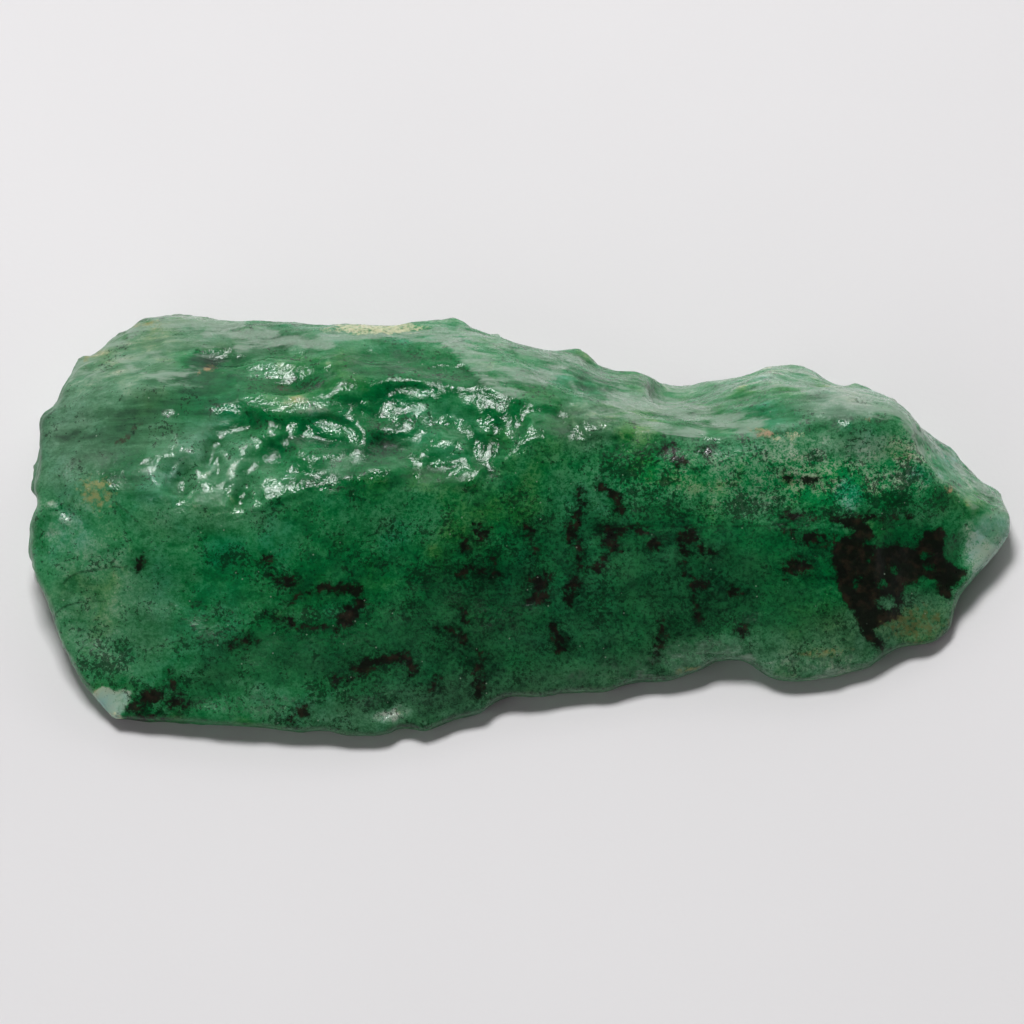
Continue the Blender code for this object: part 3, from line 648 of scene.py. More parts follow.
# Lean of the green toward blue (-1) or olive (+1), rows as above.
HUES_PX = (
    (0.10, 760, 480, 130, 40, 3, 0.8, 0.5), (-0.5, 846, 496, 15, 20, 0, 0.95, 0.4),
    (0.3, 660, 470, 40, 18, 0, 0.7, 0.6), (-0.7, 66, 500, 36, 70, 0, 0.6, 0.6),
    (-0.6, 340, 612, 28, 12, 8, 0.9, 0.5), (-0.7, 596, 550, 16, 14, 0, 0.9, 0.5),
    (-0.5, 440, 670, 60, 30, 8, 0.7, 0.7), (-0.4, 700, 600, 70, 50, 0, 0.6, 0.7),
    (-0.5, 240, 460, 100, 40, 0, 0.6, 0.7), (-0.5, 430, 430, 36, 30, 0, 0.7, 0.6),
    (-0.55, 990, 545, 26, 36, -20, 0.9, 0.3), (-0.8, 112, 706, 18, 16, 0, 0.9, 0.3),
    (-0.6, 166, 688, 8, 8, 0, 0.9, 0.5), (-0.6, 205, 362, 20, 9, 8, 0.9, 0.5),
    (-0.5, 592, 384, 30, 16, -20, 0.7, 0.6), (-0.4, 270, 690, 50, 20, 8, 0.6, 0.7),
    (0.3, 900, 450, 26, 18, 0, 0.8, 0.5), (0.3, 840, 442, 14, 9, 0, 0.8, 0.5),
    (0.35, 650, 468, 26, 16, 0, 0.8, 0.5), (0.3, 700, 484, 24, 14, 0, 0.7, 0.5),
    (0.2, 806, 478, 22, 6, 0, 0.8, 0.5), (0.2, 890, 490, 26, 12, 0, 0.7, 0.5),
    (0.5, 570, 458, 60, 26, 0, 0.7, 0.6), (-0.5, 740, 446, 26, 12, 0, 0.6, 0.5),
    (-0.4, 870, 432, 16, 10, 0, 0.6, 0.5), (1.0, 914, 626, 36, 20, 8, 0.95, 0.35),
    (0.5, 100, 620, 50, 40, -40, 0.7, 0.6), (0.5, 120, 358, 70, 30, 20, 0.7, 0.6),
    (0.6, 512, 392, 36, 12, -12, 0.8, 0.5), (0.6, 640, 380, 34, 9, -8, 0.6, 0.6),
    (0.5, 820, 655, 50, 12, 4, 0.8, 0.5), (0.4, 500, 620, 60, 20, 0, 0.6, 0.6),
    (0.4, 600, 672, 60, 10, 8, 0.6, 0.6), (0.6, 90, 600, 40, 46, -20, 0.7, 0.6),
    (-0.7, 400, 620, 60, 26, 8, 0.6, 0.7), (-0.2, 150, 610, 30, 30, 0, 0.6, 0.7),
    (-0.7, 580, 560, 40, 60, 0, 0.6, 0.7), (-0.6, 660, 560, 40, 40, 0, 0.6, 0.7),
    (0.5, 830, 590, 26, 40, 0, 0.6, 0.7), (-0.5, 610, 630, 60, 20, 0, 0.6, 0.7),
)

# Dark matrix: one large patch with a sharp left side, veins (half width in pixels and the line
# they follow) and small patches (ellipses).
MATRIX_PX = ((834, 545), (833, 565), (836, 580), (841, 592), (848, 604), (856, 614), (861, 628),
             (866, 637), (874, 646), (882, 650), (887, 644), (879, 637), (875, 630), (881, 625),
             (891, 621), (899, 619), (901, 610), (900, 597), (903, 586), (914, 580), (926, 577),
             (935, 581), (939, 592), (945, 600), (951, 597), (951, 587), (959, 581), (968, 575),
             (966, 569), (955, 566), (949, 560), (944, 553), (942, 545), (945, 536), (940, 528),
             (930, 531), (922, 540), (916, 548), (906, 547), (896, 541), (888, 546), (880, 544),
             (874, 535), (870, 525), (860, 518), (848, 516), (840, 520), (846, 532), (838, 542))
# Green left inside the large patch: ellipses without a turn.
ISLANDS_PX = (
    (872, 544, 6, 4), (892, 568, 5, 4), (930, 568, 4, 3), (857, 580, 3, 5), (888, 604, 8, 7),
    (842, 530, 8, 6), (868, 560, 3, 3), (912, 590, 8, 8), (884, 584, 4, 3), (925, 555, 3, 2),
)
VEINS_PX = (
    (4.0, ((290, 604), (298, 597), (312, 591), (328, 587), (346, 590), (356, 592))),
    (7.5, ((357, 592), (360, 604), (352, 616), (342, 620))),
    (2.5, ((338, 628), (318, 627), (300, 629), (288, 620), (276, 618), (264, 610))),
    (3.0, ((230, 650), (238, 644), (246, 641), (258, 642))),
    (3.0, ((336, 682), (348, 676), (362, 670), (372, 664), (388, 660), (402, 653))),
    (4.0, ((352, 668), (370, 662), (392, 660), (404, 656), (412, 668))),
    (2.5, ((456, 576), (464, 570), (474, 568), (484, 573), (496, 576))),
    (3.0, ((458, 600), (462, 610), (466, 620))),
    (2.0, ((438, 627), (450, 629), (462, 636), (474, 650))),
    (4.5, ((482, 660), (476, 672), (480, 684), (474, 698))),
    (3.0, ((530, 528), (532, 540), (536, 556))),
    (5.0, ((545, 576), (536, 590), (534, 600))),
    (3.5, ((578, 492), (582, 504), (577, 520), (574, 535), (580, 552), (578, 570))),
    (4.0, ((586, 568), (600, 568), (608, 558), (614, 545), (612, 532))),
    (5.0, ((576, 578), (570, 590), (572, 604))),
    (4.0, ((600, 484), (610, 492), (618, 498), (620, 510))),
    (4.0, ((604, 527), (618, 529), (640, 532))),
    (4.0, ((688, 530), (684, 542), (688, 554))),
    (3.0, ((682, 562), (688, 574))),
    (4.5, ((694, 588), (706, 582))),
    (3.0, ((696, 596), (694, 612), (700, 620))),
    (3.0, ((700, 550), (716, 552))),
    (2.0, ((784, 516), (812, 517), (834, 519), (870, 518), (908, 515))),
    (3.0, ((786, 529), (792, 536), (808, 538), (822, 534))),
    (2.5, ((786, 477), (800, 480), (816, 482))),
    (2.0, ((552, 624), (556, 634), (564, 650))),
    (2.5, ((664, 622), (664, 634), (658, 644), (652, 664))),
)
PATCHES_PX = (
    (808, 539, 19, 6, -4), (794, 569, 11, 9, 0), (806, 566, 8, 4, 0), (708, 451, 4, 5, 0),
    (669, 450, 7, 6, -30), (678, 458, 8, 3, -30), (436, 682, 4, 7, 0), (478, 690, 6, 10, 0),
    (492, 562, 4, 8, 0), (652, 547, 8, 4, 0), (268, 562, 5, 6, 0), (284, 578, 9, 5, -20),
    (244, 642, 7, 5, 20), (352, 610, 10, 9, 20), (174, 684, 3, 6, 20), (152, 697, 9, 8, 0),
    (176, 704, 8, 7, 0), (134, 708, 6, 5, 0), (292, 722, 6, 6, 0), (304, 712, 6, 7, 0),
    (140, 563, 4, 6, 0), (150, 716, 10, 3, 0), (538, 582, 8, 9, 0), (542, 600, 5, 6, 0),
    (572, 534, 5, 8, 0), (690, 538, 6, 8, 0), (700, 584, 7, 5, 0), (480, 534, 8, 7, 0),
    (468, 545, 6, 5, 0), (740, 632, 6, 6, 0), (560, 646, 6, 8, 0), (735, 592, 7, 6, 0),
    (608, 540, 6, 6, 0),
)

# Where fine dark specks gather.  Each row: strength and ellipse.
SPECKS_PX = (
    (0.60, 700, 480, 110, 36, 2), (0.85, 740, 508, 60, 14, 0), (0.90, 640, 478, 40, 34, 0),
    (0.90, 880, 490, 70, 26, 0), (0.70, 910, 450, 26, 22, 0), (0.80, 640, 505, 60, 18, 0),
    (0.65, 520, 530, 90, 40, 0), (0.55, 420, 560, 120, 50, 0), (0.80, 262, 572, 40, 22, -20),
    (0.80, 110, 655, 36, 22, 0), (0.85, 165, 695, 60, 22, 0), (0.55, 90, 625, 30, 20, 0),
    (0.60, 300, 620, 60, 24, 0), (0.60, 350, 680, 60, 40, 0), (0.50, 210, 640, 50, 24, 0),
    (1.00, 726, 482, 12, 10, 0), (1.00, 800, 497, 10, 9, 0), (1.00, 816, 456, 13, 9, 0),
    (1.00, 645, 464, 14, 14, 0), (1.00, 892, 492, 24, 12, 0), (1.00, 830, 510, 30, 8, 0),
    (0.45, 560, 600, 100, 50, 0), (0.35, 700, 600, 80, 50, 0), (0.60, 320, 384, 24, 8, 0),
    (0.70, 385, 445, 24, 10, -20), (0.55, 290, 718, 30, 14, 0), (0.50, 470, 545, 60, 20, 0),
)

# How greyish (above 0) or vivid (below 0) the green is, rows as for the tones.
DULL_PX = (
    # The greyed rows at (236, 338) and (840, 404), along the top rim, stand partly for the grey of
    # painted sheen.
    (0.9, 560, 684, 190, 22, 6, 0.8, 0.6), (0.9, 410, 712, 130, 26, 8, 0.8, 0.6),
    (0.9, 700, 660, 100, 26, 8, 0.8, 0.6), (0.8, 820, 660, 90, 26, 6, 0.8, 0.6),
    (0.5, 560, 645, 110, 26, 4, 0.7, 0.6), (0.35, 500, 610, 110, 40, 4, 0.7, 0.6),
    (0.25, 580, 540, 50, 50, 0, 0.7, 0.6), (0.4, 420, 655, 90, 30, 6, 0.7, 0.6),
    (0.4, 250, 665, 90, 34, 0, 0.7, 0.6), (0.9, 908, 618, 56, 26, 0, 0.9, 0.5),
    (0.9, 850, 630, 40, 24, 0, 0.7, 0.6), (1.2, 70, 440, 50, 56, 0, 0.8, 0.6),
    (1.0, 105, 372, 100, 56, 20, 0.8, 0.6), (1.0, 236, 338, 90, 16, 0, 0.8, 0.6),
    (0.9, 160, 440, 60, 24, 0, 0.7, 0.6), (0.6, 200, 470, 60, 34, 0, 0.7, 0.6),
    (0.5, 205, 522, 60, 16, 0, 0.7, 0.6), (0.5, 100, 610, 60, 50, 0, 0.7, 0.6),
    (0.5, 146, 630, 26, 34, 0, 0.7, 0.6), (0.4, 680, 556, 60, 20, 0, 0.7, 0.7),
    (0.4, 700, 600, 90, 40, 0, 0.7, 0.7), (1.6, 840, 404, 44, 14, 0, 0.8, 0.6),
    (-0.4, 740, 472, 50, 26, 0, 0.8, 0.6), (-0.8, 656, 468, 40, 24, 0, 0.8, 0.6),
    (-1.7, 834, 482, 60, 20, 0, 0.9, 0.6), (-0.6, 906, 474, 34, 30, 0, 0.9, 0.6),
    (-0.3, 230, 560, 50, 30, 0, 0.7, 0.7), (1.1, 588, 424, 28, 24, 0, 0.8, 0.6),
    (0.9, 858, 444, 34, 14, 0, 0.8, 0.6), (-0.5, 205, 360, 26, 10, 0, 0.9, 0.6),
)

# Patches of the broken top with little gloss: share and ellipse.
MATTE_PX = (
    (1.0, 145, 418, 100, 30, 14), (0.8, 146, 486, 28, 16, -20), (0.7, 430, 480, 30, 12, 0),
    (0.6, 345, 468, 28, 9, 0), (0.5, 212, 500, 18, 9, 0), (0.5, 400, 446, 24, 8, 0),
)
# Matt band along the ridge and the right end: the line it follows, and how far from that line it
# starts to fade and ends.
MATTE_LINE_PX = ((640, 440), (700, 440), (760, 434), (840, 420), (890, 416), (915, 440),
                 (940, 475), (965, 505))
MATTE_EDGE_PX = (5.0, 14.0)

# Clear patches without grain: share and ellipse.
PLAIN_PX = (
    (1.0, 110, 704, 18, 15, 0), (1.0, 990, 545, 24, 34, -20),
)
# The front face is grainier from left to right between these two values of x, and most here.
GRAINY_FROM_PX = (250.0, 480.0)
GRAINY_PX = ((0.4, 755, 476, 180, 40, 3),)

# Spots of another colour, rows as for the tones.
STAINS_PX = (
    (MUD, 122, 441, 10, 5, 45, 0.7, 0.6), (MUD, 134, 429, 9, 4, 30, 0.6, 0.6),
    (MUD, 288, 388, 14, 3, -8, 0.6, 0.5), (RUST, 768, 432, 20, 5, -6, 0.62, 0.7),
    (CREAM, 784, 436, 20, 6, 0, 0.58, 0.7), (RUST, 951, 490, 6, 5, -50, 0.6, 0.7),
    (RUST, 208, 369, 11, 4, 6, 0.6, 0.7), (RUST, 868, 418, 7, 3, 0, 0.55, 0.7),
    (BEIGE, 97, 492, 18, 18, -20, 0.70, 0.8), (CREAM, 376, 328, 50, 7, 0, 0.85, 0.5),
    (BEIGE, 822, 654, 30, 6, 8, 0.55, 0.8), (BEIGE, 686, 669, 14, 3, 14, 0.7, 0.5),
    (OLIVE, 918, 624, 36, 18, 6, 0.65, 0.6), (CREAM, 752, 369, 30, 3, 6, 0.6, 0.5),
    (CREAM, 112, 716, 13, 4, 0, 0.6, 0.5), (BEIGE, 92, 354, 12, 4, 40, 0.6, 0.5),
    (BEIGE, 150, 324, 22, 3, 8, 0.6, 0.5), (BEIGE, 844, 660, 20, 6, 8, 0.5, 0.8),
    # The cream spot at (392, 714) is partly a painted highlight on a pale chip.
    (CREAM, 392, 714, 13, 5, 6, 0.3, 0.4), (GREY_GREEN, 694, 652, 56, 15, 8, 0.62, 0.6),
    (GREY_GREEN, 820, 664, 60, 12, 4, 0.55, 0.6), (GREY_GREEN, 600, 672, 60, 8, 8, 0.5, 0.6),
    (GREY_GREEN, 268, 705, 50, 14, 6, 0.5, 0.6),
)

# Painted sheen: pale grey veils where smooth slopes, rims and rolled edges would mirror the bright
# paper.  Each row: strength, half width in pixels and the line it follows.
SHEEN_VEILS_PX = (
    (1.0, 9, ((612, 402), (650, 404), (690, 412), (730, 421), (756, 426))),
    (0.8, 5, ((600, 410), (626, 416), (650, 424), (676, 430), (700, 434))),
    (0.5, 4, ((604, 386), (640, 393), (690, 392))),
    (1.0, 7, ((440, 334), (462, 346), (486, 366), (510, 374), (540, 378), (560, 368))),
    (0.8, 5, ((456, 350), (474, 364), (486, 380), (500, 388), (520, 396))),
    (0.8, 5, ((460, 332), (490, 338), (514, 348), (548, 356), (580, 362))),
    (0.6, 3, ((560, 366), (575, 385), (588, 405), (600, 424))),
    (0.9, 5, ((800, 386), (840, 398), (870, 409), (898, 413))),
    (1.0, 8, ((838, 388), (868, 400), (894, 408))),
    (0.5, 4, ((690, 378), (730, 386), (780, 384), (820, 386))),
    (0.6, 4, ((716, 374), (752, 367), (790, 368), (822, 378), (860, 392), (900, 408))),
    (0.9, 4, ((902, 414), (934, 443), (962, 470), (988, 496), (1006, 512))),
    (0.6, 3, ((906, 424), (914, 444), (934, 466), (960, 490), (975, 508))),
    (1.0, 5, ((130, 332), (160, 323), (200, 322), (240, 326))),
    (1.0, 5, ((206, 332), (250, 334), (290, 338), (330, 344))),
    (0.9, 5, ((240, 346), (280, 341), (320, 338), (400, 335), (440, 336))),
    (0.8, 3, ((120, 360), (150, 376), (184, 377))),
    (0.40, 22, ((104, 372), (150, 352), (200, 344))),
    (0.5, 3, ((140, 392), (166, 388), (200, 384))),
    (0.8, 4, ((70, 376), (82, 362), (96, 350), (120, 338))),
    (0.5, 3, ((160, 372), (176, 374), (190, 368))),
    (0.5, 5, ((676, 660), (700, 652), (730, 648), (750, 656))),
    (0.4, 4, ((560, 686), (600, 684), (640, 676), (680, 668))),
    (0.4, 4, ((760, 676), (800, 680), (840, 672), (868, 662))),
    (0.2, 4, ((946, 630), (950, 606), (966, 586), (982, 566))),
)

# Hairline cracks.
CRACKS_PX = (
    ((52, 618), (58, 610), (66, 605), (80, 602), (106, 601)),
    ((64, 584), (68, 578), (78, 573), (100, 569), (128, 566)),
    ((114, 500), (138, 523)),
    ((594, 598), (650, 596), (710, 599)),
    ((612, 525), (700, 527), (800, 524)),
)

# Distances to marks are held up to this many pixels.
FAR_PX = 20.0
FARTHEST_THROUGH = 30.0 * MM
JUST_INSIDE = 0.05 * MM
THIN_STONE = 2.6 * MM

# What each region of the stone adds to the fields.
TONE = {"all": 0.46, "glassy": 0.11, "slope": 0.20, "hidden": 0.16}
# Share of painted shade in hollows and painted light on crests, by region.
PAINTED_HOLLOW_SHADE = {"glassy": 0.5, "hidden": 1.0, "slope": 0.6, "front": 0.3}
ROUGHNESS = {"all": 0.33, "glassy": -0.13, "slope": -0.06, "hump": 0.10, "hidden": 0.06}
GRAIN = {"all": 1.0, "glassy": -0.6, "slope": -0.65, "hump": -0.55}
HACKLE = {"glassy": 0.30, "hidden": 0.7, "slope": 0.12}
STREAK = {"slope": 0.9, "hump": 0.7, "glassy": 0.5}
FRONT_TONE = 0.13             # lift of the whole front face over its rows
# Pale tone of the painted sheen rim on the back slope.
SHEEN_RIM_TONE = 0.95
# Tone and hue of the painted glow of thin parts, as if lit through.
THIN_GLOW_TONE = 0.86
THIN_GLOW_HUE = -0.2
# Painted highlight on the glinting breaks, partly their frosted paleness.
GLINT_HIGHLIGHT_TONE = 0.12
GLINT_ROUGHNESS = 0.13
MATTE_ROUGHNESS = 0.8


def thickness(mesh, points, normals):
    """How far the stone runs on behind each point, straight in."""
    polygons = [tuple(face.vertices) for face in mesh.polygons]
    tree = BVHTree.FromPolygons([tuple(p) for p in points], polygons)
    depth = np.full(len(points), FARTHEST_THROUGH)
    for index, (point, normal) in enumerate(zip(points, normals)):
        inward = Vector(-normal)
        start = Vector(point) + inward * JUST_INSIDE
        _, _, _, distance = tree.ray_cast(start, inward, FARTHEST_THROUGH)
        if distance is not None:
            depth[index] = distance
    return depth


def blend(values, target, share):
    """Values moved toward the target by this share."""
    return values + (target - values) * share


def layer(values, rows, x, y, seen):
    """Values with each row blended over them in turn.  Each row: value, ellipse, share, softness."""
    for value, *shape, share, soft in rows:
        values = blend(values, value, blob(x, y, shape, soft) * share * seen)
    return values


def matrix_distance(x, y):
    """Signed distance in pixels to the nearest dark inclusion, negative inside."""
    outline = to_line(x, y, MATRIX_PX + MATRIX_PX[:1]) * 2.0
    best = np.where(inside(x, y, MATRIX_PX), -outline, outline)
    for island in ISLANDS_PX:
        best = np.maximum(best, (1.0 - radii(x, y, *island)) * 1.5 * min(island[2:4]))
    for half_width, line in VEINS_PX:
        best = np.minimum(best, to_line(x, y, line) - half_width * 0.8)
    for patch in PATCHES_PX:
        best = np.minimum(best, (radii(x, y, *patch) - 1.0) * min(patch[2:4]))
    return np.clip(best, -FAR_PX, FAR_PX)


class Painter:
    """The stone's fields: one value, or one colour, for each point of the skin."""

    def __init__(self, mesh):
        self.mesh = mesh
        self.points = mesh_points(mesh)
        self.normals = mesh_normals(mesh)
        self.p = self.points / MM
        self.place = regions(self.points, self.normals)
        self.seen = self.place["seen"]
        self.hidden = self.place["hidden"]
        self.clouds = cloud_noise(self.p / np.array((16.0, 9.0, 9.0)), seed=101, octaves=4)
        self.wander_x, self.wander_y = wander(self.p, size=2.2, seed=104, reach=7.0)
        self.plain = patches(*self.wandering(0.4), PLAIN_PX, soft=0.2) * self.seen
        # Painted sheen: a pale rim low down on the back slope, where it would mirror the bright paper.
        edge = self.points[:, 2] / MM + self.clouds * 2.0
        self.sheen_rim = self.place["slope"] * (1.0 - ramp(edge, 1.5, 5.0))

    def wandering(self, share):
        """The photograph's pixels with this share of the wander."""
        return self.place["x"] + self.wander_x * share, self.place["y"] + self.wander_y * share

    def write(self, name, values):
        """Keep a field as one of the mesh's attributes."""
        kind, slot = ("FLOAT", "value") if values.ndim == 1 else ("FLOAT_COLOR", "color")
        attribute = self.mesh.attributes.new("stone_" + name, kind, "POINT")
        attribute.data.foreach_set(slot, values.astype(np.float32).ravel())

    def paint_body(self, glint):
        """Tone, hue and dullness of the clouded body, with painted shade in hollows, painted light on
        crests, a painted glow at thin parts, a painted sheen rim and painted highlight on glinting
        breaks.
        """
        x, y = self.wandering(1.0)
        tone = by_region(self.place, TONE) + self.clouds * (0.10 + 0.16 * self.hidden)
        tone = layer(tone, TONES_PX, x, y, self.seen) + FRONT_TONE * self.place["front"]
        tone = blend(tone, SHEEN_RIM_TONE, 0.6 * self.sheen_rim)
        hue = layer(cloud_noise(self.p / 8.0, seed=107, octaves=4) * 1.5, HUES_PX, x, y, self.seen)

        edges = mesh_edges(self.mesh)
        depth = spread(thickness(self.mesh, self.points, self.normals), edges, rounds=6)
        # Painted glow: thin parts are made paler and bluer, as if lit through.
        thin = np.exp(-depth / THIN_STONE)
        tone = blend(tone, THIN_GLOW_TONE, np.clip(thin * 0.9, 0.0, 0.8))
        hue = blend(hue, THIN_GLOW_HUE, np.clip(thin, 0.0, 0.8))

        # Painted shade and light: the tone is darker in hollows and creases, where shade falls, and
        # lighter on crests.
        around = spread(self.points, edges, rounds=14) - self.points
        hollow = (around * self.normals).sum(axis=1) / MM
        shade = np.clip(by_region(self.place, PAINTED_HOLLOW_SHADE), 0.0, 1.0)
        tone -= np.clip(hollow, -0.10, 0.16) * 1.1 * shade
        # Painted highlight: the glinting breaks are made paler, partly their frosted paleness.
        self.write("tone", tone + GLINT_HIGHLIGHT_TONE * glint * self.seen)
        self.write("hue", hue)
        dull = 0.45 * self.hidden * ramp(self.clouds, -0.4, 0.4)
        self.write("dull", layer(dull, DULL_PX, x, y, self.seen))

    def paint_marks(self):
        """Dark inclusions, specks, stains, painted sheen and cracks."""
        dark = matrix_distance(*self.wandering(0.35))
        hidden_dark = (0.34 - cloud_noise(self.p / 7.0, seed=106, octaves=4)) * 40.0
        dark = np.clip(dark * self.seen + hidden_dark * self.hidden, -FAR_PX, FAR_PX)
        self.write("matrix", dark / FAR_PX)

        specks = 0.08 * self.place["front"] + 0.06
        gathered = patches(self.place["x"], self.place["y"], SPECKS_PX, soft=0.7) * self.seen
        specks = np.maximum(specks, gathered)
        specks = np.maximum(specks, self.hidden * ramp(self.clouds, -0.2, 0.5) * 0.7)
        self.write("specks", specks * (1.0 - self.plain))

        stain = np.zeros((len(self.points), 4))
        x, y = self.wandering(0.6)
        for colour, *shape, share, soft in STAINS_PX:
            cover = blob(x, y, shape, soft) * share * self.seen
            stain[:, :3] = np.where(cover[:, None] > stain[:, 3:], colour, stain[:, :3])
            stain[:, 3] = np.maximum(stain[:, 3], cover)
        self.write("stain", stain)

        # Painted sheen: pale veils laid at random over the hidden sides and along the back slope's rim.
        hidden_sheen = 0.45 * self.hidden * ramp(cloud_noise(self.p / 9.0, seed=108, octaves=5), -0.3, 0.7)
        painted_sheen = np.maximum(0.7 * self.sheen_rim, hidden_sheen)
        for strength, width, line in SHEEN_VEILS_PX:
            away = to_line(*self.wandering(0.7), line) / width
            painted_sheen = np.maximum(painted_sheen, strength * (1.0 - ramp(away, 0.2, 2.0)) * self.seen)
        self.write("painted_sheen", painted_sheen)

        crack = np.full(len(self.points), FAR_PX)
        for line in CRACKS_PX:
            crack = np.minimum(crack, to_line(*self.wandering(0.2), line))
        self.write("crack", (crack * self.seen + FAR_PX * self.hidden) / FAR_PX)

    def paint_gloss(self, glint):
        """Roughness, wet gloss and the fine relief that breaks it up."""
        place = self.place
        to_band = to_line(place["x"], place["y"], MATTE_LINE_PX)
        band = 1.0 - ramp(to_band, *MATTE_EDGE_PX)
        matte = patches(*self.wandering(1.0), MATTE_PX, soft=0.4) * self.seen
        rough = by_region(place, ROUGHNESS) + 0.16 * band * self.seen
        rough = blend(blend(rough, MATTE_ROUGHNESS, matte), GLINT_ROUGHNESS, glint)
        self.write("rough", rough)

        wet = 0.15 * place["glassy"] + 0.26 * place["slope"] * (1.0 - band) + 0.04 * self.hidden
        self.write("wet", wet * (1.0 - matte) + 0.35 * glint)
        self.write("glint", np.maximum(glint, 0.12 * place["glassy"]))
        self.write("hackle", np.maximum(glint * 0.45, by_region(place, HACKLE)))
        self.write("streak", by_region(place, STREAK) * (1.0 - self.plain))
        grainy = ramp(place["x"], *GRAINY_FROM_PX) + patches(place["x"], place["y"], GRAINY_PX, soft=0.5)
        self.write("grain", by_region(place, GRAIN) + place["front"] * grainy - 0.8 * self.plain)


def paint(mesh):
    """Write the stone's fields onto the skin."""
    painter = Painter(mesh)
    glint = np.zeros(len(mesh.vertices))
    for weight, _ in glint_weights(painter.points, painter.normals):
        glint = np.maximum(glint, weight)
    painter.paint_body(glint)
    painter.paint_marks()
    painter.paint_gloss(glint)


# ---------------------------------------------------------------- materials

# Noise patterns: scale in features for each metre, detail, roughness, distortion and stretch.
NOISES = {
    "clouds": (170.0, 8.0, 0.62, 0.7, (0.8, 1.0, 1.0)),
    "wisps": (560.0, 7.0, 0.64, 0.7, (0.8, 1.0, 1.0)),
    "mottle": (2000.0, 4.0, 0.6, 0.3),
    "fine_mottle": (4400.0, 2.0, 0.6),
    "streaks": (800.0, 5.0, 0.6, 0.3, (0.2, 1.0, 1.0)),
    "hue": (230.0, 5.0, 0.62, 0.8),
    "dullness": (260.0, 5.0, 0.6),
    "clusters": (300.0, 5.0, 0.6),
    "specks": (2300.0, 4.0, 0.7),
    "veinlets": (640.0, 5.0, 0.66, 1.4),
    "matrix_border": (430.0, 9.0, 0.74),
    "matrix_fringe": (1700.0, 4.0, 0.7),
    "soil": (800.0, 4.0),
    "sheen_streaks": (760.0, 6.0, 0.66, 0.6, (0.22, 1.0, 1.0)),
    "stain_border": (1300.0, 4.0, 0.7),
    "roughness": (1700.0, 3.0),
    "wide_relief": (700.0, 4.0, 0.6),
    "fine_relief": (2200.0, 3.0),
    "hackle": (1050.0, 3.0, 0.6, 0.8),
    "cellular": (2400.0, 1.0, 0.5),
    "pits": (1700.0, 3.0, 0.6, 0.5),
    "paper_tone": (9.0, 3.0),
    "paper_grain": (1400.0, 4.0),
}
# How far some of the noises swing to each side, in the units of the field they are added to.
SWINGS = {"clouds": 0.20, "wisps": 0.18, "mottle": 0.13, "fine_mottle": 0.07, "streaks": 0.26,
          "hue": 0.42, "dullness": 0.2, "clusters": 0.16, "matrix_border": 0.45,
          "matrix_fringe": 0.35, "sheen_streaks": 0.9, "stain_border": 0.6, "roughness": 0.06}
# How much of the body each kind of mark covers at its strongest.
# Of these, 'grain' is the tiny dots of painted sparkle.
COVER = {"speck": 0.75, "veinlet": 0.45, "halo": 0.55, "matrix": 0.93, "painted_sheen": 0.75, "stain": 0.85,
         "crack": 0.55, "grain": 0.5}
# Where each kind of mark starts and where it is full.
# Of these, 'grain' is the tiny dots of painted sparkle.
EDGES = {"lean": (0.05, 1.1), "speck": (0.62, 0.67), "halo": (-0.05, 0.35), "matrix": (-0.10, 0.03),
         "soil": (0.45, 0.7), "painted_sheen": (0.25, 1.15), "sheen_field": (0.0, 0.2), "stain": (0.35, 1.0),
         "crack": (0.02, 0.09), "grain": (0.035, 0.075), "pits": (0.36, 0.54), "paper": (0.3, 0.7)}
SPARKLE_SCALE = 520.0
LIGHTEST_MOTTLE = 0.06
LIGHT_CLOUD_SHARE = 0.4       # of the clouds' swing where they lighten the body
DULL_SATURATION = -0.3
SPECK_LIFT = 0.17
VEINLET_WIDTH = 0.020
PIT_GLOSS = 0.3
# Heights in metres of the bumps made from a noise.
BUMPS = {"wide_relief": 0.00022, "fine_relief": 0.00006, "hackle": 0.00035, "cellular": 0.00010,
         "paper_grain": 0.00004}
STONE_SETTINGS = {
    "Coat Roughness": 0.16,
    "IOR": 1.434,
    "Specular IOR Level": 0.42,
    "Subsurface Weight": 0.22,
    "Subsurface Radius": (0.35, 1.0, 0.55),
    "Subsurface Scale": 0.002,
}


def rgba(colour):
    return (float(colour[0]), float(colour[1]), float(colour[2]), 1.0)


